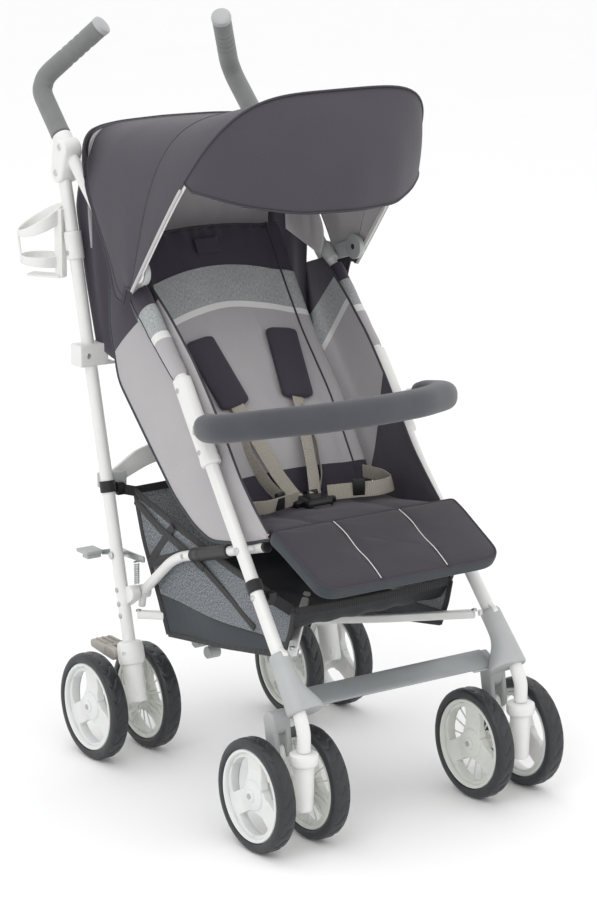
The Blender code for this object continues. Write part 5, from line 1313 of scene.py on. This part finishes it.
def wing(side, sign):
    """A sheet from the seat's edge up to the main tube. It is ruled between its lower border and
    its border along the tube, and bellies outwards by a sine between them. Across, it is a loop
    over its outer side and back down its inner side, 3 mm apart."""
    low = eased([(0.151, -0.092, 0.405), (0.156, -0.045, 0.389), (0.161, 0.036, 0.375), (0.165, 0.072, 0.390),
                 (0.166, 0.121, 0.421), (0.166, 0.197, 0.492), (0.165, 0.272, 0.562), (0.163, 0.297, 0.640),
                 (0.159, 0.303, 0.690)], 0.05, 0.002)
    high = eased([(0.149, -0.088, 0.411), (0.150, -0.055, 0.440), (0.150, -0.020, 0.476),
                  (0.150, 0.012, 0.520), (0.151, 0.050, 0.570), (0.152, 0.095, 0.622),
                  (0.153, 0.150, 0.672), (0.154, 0.190, 0.703), (0.154, 0.215, 0.717)], 0.05, 0.002)
    steps, m = (34, 44, 3, 16, 20), 26
    low = pieced(low, ((0.105, 0.410), (0.250, 0.543), (0.257, 0.549), (0.288, 0.600)), steps)
    high = pieced(high, ((0.052, 0.573), (0.139, 0.662), (0.146, 0.668), (0.180, 0.695)), steps)
    n = len(low)
    v = np.linspace(0, 1, m)[None, :, None]
    outer = low[:, None] * (1 - v) + high[:, None] * v
    t = np.linspace(0, 1, n)[:, None]
    belly = 0.0050 * np.sin(np.pi * v[..., 0]) * (1 - v[..., 0]) * (1 + 0.4 * np.sin(3 * np.pi * t))
    outer[..., 0] += belly
    inner = outer - (0.0030, 0.0, 0.0)
    middle = (outer + inner) / 2
    low_lip = middle[:, :1] + (middle[:, :1] - middle[:, 1:2]) * 0.10
    high_lip = middle[:, -1:] + (middle[:, -1:] - middle[:, -2:-1]) * 0.10
    grid = np.concatenate((outer, high_lip, inner[:, ::-1], low_lip), axis=1)
    shell = lattice(sided(grid, sign), capped=True)
    inside = np.zeros(grid.shape[1], bool)
    inside[m + 1:2 * m + 1] = True
    inside = np.broadcast_to(inside[None, :], (n - 1, grid.shape[1]))
    part = np.broadcast_to(np.repeat(np.arange(5), steps)[:, None], inside.shape)
    zoned(shell, (NAVY_CLOTH, inside & (part == 0) | (part == 4)), (WHITE_TRIM, inside & (part == 2)),
          (MELANGE, inside & (part == 3)))
    panel = build(f"seat_wing_{side}", shell, MAIN_CLOTH, "seat", (), sharp=70.0)
    cloth(panel, sided(outer, sign))
    crumple(panel)
    bind = [tube(sided(middle[:, 0] - (0, 0, 0.0008), sign), 0.0030, (1, 0, 0), 12, SIDE_NYLON),
            tube(sided(middle[:, -1], sign), 0.0018, (1, 0, 0), 10, PIPING)]
    crumple(build(f"seat_wing_binding_{side}", bind, PIPING, "seat"))


def sleeve(side, sign):
    """The cloth round the main tube: a drop-shaped section, wider towards the back, whose radius
    waves softly along the tube like loose cloth."""
    z = np.linspace(0.5990, 0.7000, 64)
    t = (z - z[0]) / (z[-1] - z[0])
    a = turns(56)
    soft = (1 + 0.045 * np.sin(9 * t + 1.0)[:, None] * np.cos(2 * a)[None, :]
            + 0.03 * np.sin(21 * t)[:, None] * np.cos(a)[None, :])
    mouth = 1 - 0.12 * np.exp(-(t / 0.04) ** 2) - 0.10 * np.exp(-((1 - t) / 0.05) ** 2)
    wide = 0.0128 * soft * mouth[:, None]
    lopsided = np.where(np.cos(a) < 0, 1.0, 0.62)
    deep = (0.0140 + 0.0150 * smoothstep(0.0, 1.0, t))[:, None] * lopsided[None, :] * soft
    middle = main_at(z)
    ahead = unit(np.cross((1.0, 0.0, 0.0), TUBE_AXIS))
    grid = (middle[:, None] + wide[..., None] * np.sin(a)[None, :, None] * np.array((1.0, 0, 0))
            + (deep * np.cos(a)[None, :])[..., None] * ahead)
    shell = lattice(sided(grid, sign), capped=True)
    band = np.broadcast_to(t[1:, None], (len(t) - 1, len(a)))
    zoned(shell, (WHITE_TRIM, (band > 0.42) & (band <= 0.50)), (MELANGE, (band > 0.50) & (band <= 0.80)),
          (NAVY_CLOTH, band > 0.80))
    made = build(f"seat_sleeve_{side}", shell, MAIN_CLOTH, f"side_{side}", (), sharp=70.0)
    stitch = sided(grid[:, 18] + (0.0004, 0, 0), sign)
    build(f"seat_sleeve_seam_{side}", tube(stitch, 0.0008, (0, 1, 0), 8), PIPING, f"side_{side}")


for side, sign in SIDES:
    wing(side, sign)
    sleeve(side, sign)

# Harness: two shoulder pads on webbing, two lap straps, a crotch strap and the buckle

for side, sign in SIDES:
    z = np.linspace(0.6155, 0.5290, 40)
    x = sign * np.interp(z, (0.5290, 0.6155), (0.0540, 0.0720))
    middle = on_face(x, z, 0.0085)
    t = np.linspace(0, 1, 40)
    ends = np.sqrt(1 - (1 - np.clip(np.minimum(t, 1 - t) / 0.07, 0, 1)) ** 2) * 0.35 + 0.65
    section = squircle(0.0255, 0.0060, 3.2, 48)
    section = section[None] * np.stack((ends, 0.45 + 0.55 * (ends - 0.65) / 0.35), axis=1)[:, None, :]
    shell = lattice(carried(middle, section, unit(np.array((0.0, -0.8, 0.6)))), capped=True)
    pad = build(f"shoulder_pad_{side}", shell, NAVY_CLOTH, "back", (), sharp=70.0)
    held = np.zeros((40, 48), bool)
    held[:3] = held[-3:] = True
    held[:, np.abs(section[20, :, 0]) > 0.0235] = True
    stuffed(pad, held, 0.0025, 3.0)
    strap = eased([(sign * 0.054, *on_face(0.054, 0.535, 0.009)[1:]),
                   (sign * 0.046, *on_face(0.046, 0.500, 0.012)[1:]),
                   (sign * 0.030, 0.062, 0.446), (sign * 0.019, 0.040, 0.420), (sign * 0.014, 0.030, 0.412)],
                  0.03, 0.003)
    double = eased([(sign * 0.057, *on_face(0.057, 0.520, 0.006)[1:]), (sign * 0.060, 0.093, 0.470),
                    (sign * 0.047, 0.062, 0.432), (sign * 0.034, 0.050, 0.415)], 0.03, 0.003)
    lap = eased([(sign * 0.118, 0.060, 0.424), (sign * 0.134, 0.028, 0.421), (sign * 0.128, -0.004, 0.418),
                 (sign * 0.095, -0.010, 0.417), (sign * 0.060, 0.004, 0.416), (sign * 0.026, 0.018, 0.414)],
                0.035, 0.003)
    flat_side = unit(np.cross((0.0, 0.0, 1.0), unit(np.gradient(lap, axis=0))) + (0, 0, 0.25))
    clip = [brick((sign * 0.068, 0.001, 0.4255), (0.0180, 0.0060, 0.0250), 0.003, 0.0015,
                  about(2, -22 * sign), BLACK_PLASTIC)]
    straps = [ribbon(strap, 0.0210, 0.0016, (sign * 0.25, -0.55, 0.8)),
              ribbon(double, 0.0180, 0.0016, (sign * 0.9, -0.35, 0.2)),
              ribbon(lap + (0, 0, 0.0060), 0.0220, 0.0016, flat_side)] + clip
    crumple(build(f"harness_webbing_{side}", straps, WEBBING, "seat"))

buckle = [brick((0.0, 0.0200, 0.4110), (0.0440, 0.0480, 0.0140), 0.016, 0.0045),
          brick((0.0, 0.0200, 0.4170), (0.0200, 0.0200, 0.0060), 0.009, 0.0018)]
buckle += [brick((0.026 * sign, 0.0225, 0.4120), (0.0220, 0.0260, 0.0090), 0.004, 0.0022,
                 about(2, -14 * sign)) for _, sign in SIDES]
buckle += [brick((0.013 * sign, 0.0450, 0.4150), (0.0190, 0.0200, 0.0080), 0.004, 0.0022,
                 about(0, -25)) for _, sign in SIDES]
crotch = eased([(0, -0.002, 0.409), (0, -0.020, 0.4085), (0, -0.036, 0.403), (0, -0.040, 0.395)], 0.02, 0.002)
buckle.append(ribbon(crotch, 0.0300, 0.0022, (0, -1, 0.2), BLACK_TAPE))
crumple(build("harness_buckle_cover", buckle, BLACK_PLASTIC, "seat", "harness_buckle"))

# Calf rest: charcoal top, piping round it, a slate side band and two light lines of stitching

REST_LINE = eased([(-0.104, 0.411), (-0.128, 0.402), (-0.175, 0.379), (-0.210, 0.362), (-0.2225, 0.3545)],
                  0.03, 0.003)
place, length = along(REST_LINE)
outline = eased([(-0.156, 0.0), (0.156, 0.0), (0.151, length), (-0.151, length)], (0.02, 0.02, 0.085, 0.085),
                0.004, True)
STITCH_X = 0.056
shell = cushion(outline, place, 0.0105, 0.003,
                lambda x, y: 0.0022 * np.exp(-((np.abs(x) - STITCH_X) / 0.0035) ** 2), belly=0.001)
rings = len(shell["verts"]) // len(outline)
row = np.repeat(np.arange(rings - 1)[:, None], len(outline), axis=1)
zoned(shell, (SIDE_NYLON, row >= shell["top"] - 1))
rest = build("calf_rest_pad", shell, REST_CLOTH, "calf", "calf_rest", sharp=70.0)
points = shell["verts"].reshape(rings, len(outline), 3)
held = np.ones(points.shape[:2], bool)
held[:shell["top"] - 2] = np.abs(np.abs(points[:shell["top"] - 2, :, 0]) - STITCH_X) < 0.0035
stuffed(rest, held, 0.004)
welt = points[shell["top"] - 1] + (0, 0, 0.0004)
far = np.linspace(0.004, length - 0.004, 30)
thread = []
for _, sign in SIDES:
    # The thread lies on the pad: at each step, on the highest of the pad's points beside it.
    line, above = (place(np.full(30, sign * STITCH_X), far, np.full(30, height)) for height in (0.0, 1.0))
    out = unit(above - line)
    apart = shell["verts"][None] - line[:, None]
    level = np.sum(apart * out[:, None], axis=-1)
    beside = np.linalg.norm(apart - level[..., None] * out[:, None], axis=-1) < 0.0075
    level = np.where(beside, level, -1.0).max(axis=1)
    level = np.convolve(np.pad(level, 2, mode="edge"), np.ones(5) / 5, mode="valid")
    thread.append(tube(line + out * level[:, None], 0.0007, (1, 0, 0), 8, WHITE_TRIM))
ring = np.vstack((welt, welt[:1]))
crumple(build("calf_rest_piping", [tube(ring, 0.0015, (0, -0.4, 1), 8)] + thread, PIPING, "calf"))

# Basket: net sides in black binding, nylon below, webbing crossed over the side

TRAY = np.array(((0.279, 0.386), (0.2555, 0.320), (0.218, 0.260), (0.185, 0.243), (0.050, 0.254),
                 (-0.108, 0.277), (-0.128, 0.306)))
tray = eased(TRAY, 0.03, 0.006)
TRAY_X = 0.1335
x = np.linspace(-TRAY_X, TRAY_X, 44)
s = np.linspace(0, 1, len(tray))
sag = 0.0070 * (1 - (x / TRAY_X) ** 2)[None, :] * np.sin(np.pi * s)[:, None]
ruffle = 0.0018 * np.sin(2 * np.pi * x / 0.045)[None, :] * np.sin(3 * np.pi * s)[:, None]
floor = np.stack((np.broadcast_to(x[None, :], sag.shape), tray[:, :1] + 0 * sag,
                  tray[:, 1:] - sag + ruffle), axis=-1)
shell = open_sheet(floor, (0, 0, -1))
zoned(shell, (NET, np.broadcast_to((s[1:] < 0.20)[:, None], (len(s) - 1, len(x) - 1))))
hung("basket_tray", shell, floor, BASKET_NYLON, (0.0010, 0.0),
     "basket")

NET_X = 0.1345
# The four corners of a basket side in (y, z), and the rows and columns of its grid
LOW_REAR, LOW_FRONT = (0.192, 0.193), (-0.106, 0.239)
HIGH_REAR, HIGH_FRONT = (0.2805, 0.3895), (-0.1305, 0.3085)
NET_COLUMNS, NET_ROWS = 60, 26
# Webbing over the net: its (y, z) points, its height over the net and its width
TAPES = ((((0.272, 0.378), (0.209, 0.352), (0.128, 0.331), (0.089, 0.318)), 0.0016, 0.0120),
         (((0.170, 0.362), (0.195, 0.335), (0.229, 0.299)), 0.0004, 0.0130),
         (((0.236, 0.291), (0.180, 0.312), (0.128, 0.331)), 0.0002, 0.0140),
         (((0.089, 0.318), (0.020, 0.290), (-0.040, 0.262)), 0.0002, 0.0100))


def at_net(points):
    return [(NET_X, *point) for point in points]


for side, sign in SIDES:
    lower = border(at_net((LOW_REAR, (0.040, 0.214), LOW_FRONT)), 0.03, NET_COLUMNS)
    upper = border(at_net((HIGH_REAR, (0.160, 0.360), (0.020, 0.332), HIGH_FRONT)), 0.05, NET_COLUMNS)
    rear = border(at_net((LOW_REAR, (0.216, 0.243), (0.2568, 0.320), HIGH_REAR)), 0.05, NET_ROWS)
    ahead = border(at_net((LOW_FRONT, (-0.122, 0.275), HIGH_FRONT)), 0.02, NET_ROWS)
    net = coons(lower, upper, rear, ahead)
    u, v = np.meshgrid(np.linspace(0, 1, NET_COLUMNS), np.linspace(0, 1, NET_ROWS))
    net[..., 0] += (0.0050 * np.sin(np.pi * u) * np.sin(np.pi * v)
                    - 0.0025 * np.sin(3 * np.pi * u) * np.sin(2 * np.pi * v))
    net = sided(net, sign)
    shell = open_sheet(net, (sign, 0, 0))
    zoned(shell, (SIDE_NYLON, v[:-1, :-1] < 0.27))
    hung(f"basket_side_{side}", shell, net, NET, (0.0010, 0.0))

    webbing = []
    for points, lift, width in TAPES:
        path = eased(points, 0.03, 0.004)
        path = np.column_stack((np.full(len(path), sign * (NET_X + 0.0045 + lift)), path))
        webbing.append(ribbon(path, width, 0.0012, (1, 0, 0)))
    webbing += [ribbon(line, width, thickness, (1, 0, 0)) for line, width, thickness in (
        (net[:, 0], 0.0120, 0.0030), (net[0], 0.0080, 0.0026), (net[-1], 0.0110, 0.0030),
        (net[:, -1], 0.0100, 0.0030), (net[7], 0.0036, 0.0018))]
    crumple(build(f"basket_binding_{side}", webbing, BLACK_TAPE, "seat"))

    # Webbing round the rear leg, and round the main tube, that the basket hangs from.
    ties = []
    for spot, along_tube, hook in ((leg_at(0.4000), LEG_AXIS, (0.1345, 0.2805, 0.3895)),
                                   (main_at(0.3420), unit(BENDS[2] - BENDS[1]), (0.1345, -0.1260, 0.3085))):
        hook = np.array(hook)
        wrap = spot + along_tube * np.linspace(-0.0085, 0.0085, 5)[:, None]
        loop = eased([spot + (-0.006, 0.0, 0.0), (hook + spot) / 2, hook], 0.02, 0.003)
        ties += [tube(sided(wrap, sign), 0.0118, edge=0.001),
                 ribbon(sided(loop, sign), 0.0150, 0.0020, (0, 1, 0)),
                 brick(sided(spot * 0.55 + hook * 0.45, sign), (0.0120, 0.0080, 0.0180), 0.003, 0.0012,
                       finish=BLACK_PLASTIC)]
    build(f"basket_ties_{side}", ties, BLACK_TAPE, f"side_{side}")

x = np.linspace(-NET_X, NET_X, 50)
bar = np.stack((x, 0.2805 + 0.0040 * (1 - (x / NET_X) ** 2), 0.3880 + 0 * x), axis=1)
lip = np.stack((x, -0.1285 + 0 * x, 0.3070 - 0.0030 * (1 - (x / NET_X) ** 2)), axis=1)
crumple(build("basket_rims", [ribbon(bar, 0.0180, 0.0030, (0, 1, 0)), ribbon(lip, 0.0120, 0.0030, (0, 1, 0))],
              BLACK_TAPE, "seat"))

# Dark drape that fills the side behind the seat, between the main tube and the rear leg
for side, sign in SIDES:
    top = border([(0.157, 0.256, 0.775), (0.157, 0.285, 0.840), (0.157, 0.320, 0.886), (0.157, 0.345, 0.890)],
                 0.03, 30)
    bottom = border([(0.156, 0.252, 0.600), (0.157, 0.290, 0.585), (0.158, 0.345, 0.600)], 0.04, 30)
    fore = border([(0.156, 0.252, 0.600), (0.157, 0.262, 0.660), (0.157, 0.256, 0.775)], 0.04, 30)
    rear = border([(0.158, 0.345, 0.600), (0.158, 0.372, 0.690), (0.158, 0.398, 0.800),
                   (0.157, 0.385, 0.850), (0.157, 0.345, 0.890)], 0.04, 30)
    drape = coons(bottom, top, fore, rear)
    u, v = np.meshgrid(np.linspace(0, 1, 30), np.linspace(0, 1, 30))
    drape[..., 0] -= (0.0040 * np.sin(np.pi * u) * np.sin(np.pi * v)
                      + 0.0020 * np.sin(5 * np.pi * u) * np.sin(np.pi * v))
    drape = sided(drape, sign)
    hung(f"side_drape_{side}", open_sheet(drape, (sign, 0, 0)), drape, NAVY_CLOTH, (0.0012, -1.0))

# Lining that hangs from the hood's side down inside the main tube, to the wing's upper end
for side, sign in SIDES:
    top = border([(0.1535, 0.226, 0.788), (0.1530, 0.262, 0.792), (0.1520, 0.308, 0.776)], 0.03, 24)
    bottom = border([(0.1535, 0.2180, 0.7205), (0.1530, 0.2480, 0.7300), (0.1520, 0.3060, 0.7480)], 0.04, 24)
    fore = border([(0.1535, 0.2180, 0.7205), (0.1535, 0.2085, 0.7450), (0.1535, 0.2110, 0.7650),
                   (0.1535, 0.226, 0.788)], 0.04, 20)
    rear = evenly([(0.1520, 0.3060, 0.7480), (0.1520, 0.308, 0.776)], 20)
    flap = coons(bottom, top, fore, rear)
    u, v = np.meshgrid(np.linspace(0, 1, 24), np.linspace(0, 1, 20))
    flap[..., 0] -= 0.0030 * np.sin(3 * np.pi * u) ** 2 * np.sin(np.pi * v)
    flap = sided(flap, sign)
    hung(f"hood_side_lining_{side}", open_sheet(flap, (sign, 0, 0)), flap, LINING, (0.0010, -1.0))

# Curtain from the hood's rear edge down behind the head panel, clear of the back
upper = rear_line[(np.abs(rear_line[:, 0]) < 0.186) & (rear_line[:, 2] > 0.85)] + (0, -0.0030, -0.0020)
upper = evenly(upper * (0.97, 1.0, 1.0), 70)
lower = evenly([(-0.158, 0.358, 0.742), (0.0, 0.368, 0.740), (0.158, 0.358, 0.742)], 70)
t = np.linspace(0, 1, 26)[:, None, None]
folds = 0.0030 * np.sin(2 * np.pi * upper[:, 0] / 0.052)[None, :, None] * np.sin(np.pi * t) ** 0.7
curtain = upper[None] * (1 - t) + lower[None] * t + folds * np.array((0.0, 1.0, 0.0))
curtain[..., 1] += 0.0080 * np.sin(np.pi * t[..., 0])
hung("hood_rear_curtain", open_sheet(curtain, (0, 1, 0)), curtain, CANOPY, (0.0012, -1.0),
     lining=LINING)

# Short grey bar with two rollers below the basket's rear edge
rollers = [brick((-0.060, 0.1880, 0.1720), (0.0040, 0.0400, 0.0300), 0.010, 0.0012, about(0, 15))]
for y, z in ((0.172, 0.160), (0.205, 0.168)):
    rollers.append(turned([(0.0003, 0.0110), (0.0070, 0.0110), (0.0090, 0.0095), (0.0090, -0.0095),
                           (0.0070, -0.0110), (0.0003, -0.0110)], (-0.0720, y, z), (1, 0, 0), 32))
path = eased([(-0.060, 0.186, 0.206), (-0.060, 0.188, 0.190), (-0.060, 0.188, 0.178)], 0.01, 0.002)
rollers.append(ribbon(path, 0.0200, 0.0024, (0, 1, 0), BLACK_TAPE))
crumple(build("basket_rollers", rollers, GREY_PLASTIC, "seat"))

# Camera, floor and lights

camera = bpy.data.objects.new("camera", bpy.data.cameras.new("camera"))
SCENE.collection.objects.link(camera)
camera.location = (-2.3728, -3.4965, 1.5217)
camera.rotation_euler = (math.pi / 2 - 0.24452, 0.0, -0.60397)
camera.data.sensor_fit = "VERTICAL"
camera.data.sensor_height = 36.0
camera.data.lens = 120.9
camera.data.clip_end = 50.0
SCENE.camera = camera

# Floor: one flat white sheet.
x = np.linspace(-30.0, 30.0, 3)
sweep = np.stack(np.broadcast_arrays(x[:, None], x[None, :], -0.0005), axis=-1)
STUDIO, tree, shader = started("painted_floor_white", Roughness=0.9)
coloured(tree, shader, noise(tree, on_object(tree), 3.0, 2.0), "#fdfdfd", "#fbfbfb")
shell = open_sheet(sweep, (0, 0, 1))
mesh = bpy.data.meshes.new("studio_floor")
mesh.from_pydata(shell["verts"].tolist(), [], shell["quads"].tolist())
mesh.materials.append(STUDIO)
floor_piece = bpy.data.objects.new("studio_floor", mesh)
SCENE.collection.objects.link(floor_piece)


def lamp(name, place, target, size, power):
    """A square soft light at a place, facing a target."""
    data = bpy.data.lights.new(name, "AREA")
    data.shape, data.size, data.energy = "SQUARE", size, power
    made = bpy.data.objects.new(name, data)
    SCENE.collection.objects.link(made)
    z = unit(np.asarray(place, float) - np.asarray(target, float))
    x = unit(np.cross((0.0, 0.0, 1.0), z))
    y = np.cross(z, x)
    made.matrix_world = Matrix([(x[k], y[k], z[k], place[k]) for k in range(3)] + [(0, 0, 0, 1)])
    return made


lamp("key_light", (-2.6, -2.0, 3.2), (0, 0, 0.5), 2.2, 32.0)
lamp("fill_light", (3.0, -2.6, 2.0), (0, 0, 0.5), 3.0, 9.0)
lamp("top_light", (0.0, 0.4, 3.8), (0, 0, 0.4), 3.0, 16.0)
world = bpy.data.worlds.new("studio")
world.use_nodes = True
world.node_tree.nodes["Background"].inputs["Color"].default_value = (1, 1, 1, 1)
world.node_tree.nodes["Background"].inputs["Strength"].default_value = 1.0
SCENE.world = world
SCENE.view_settings.view_transform = "Standard"

bpy.context.view_layer.update()
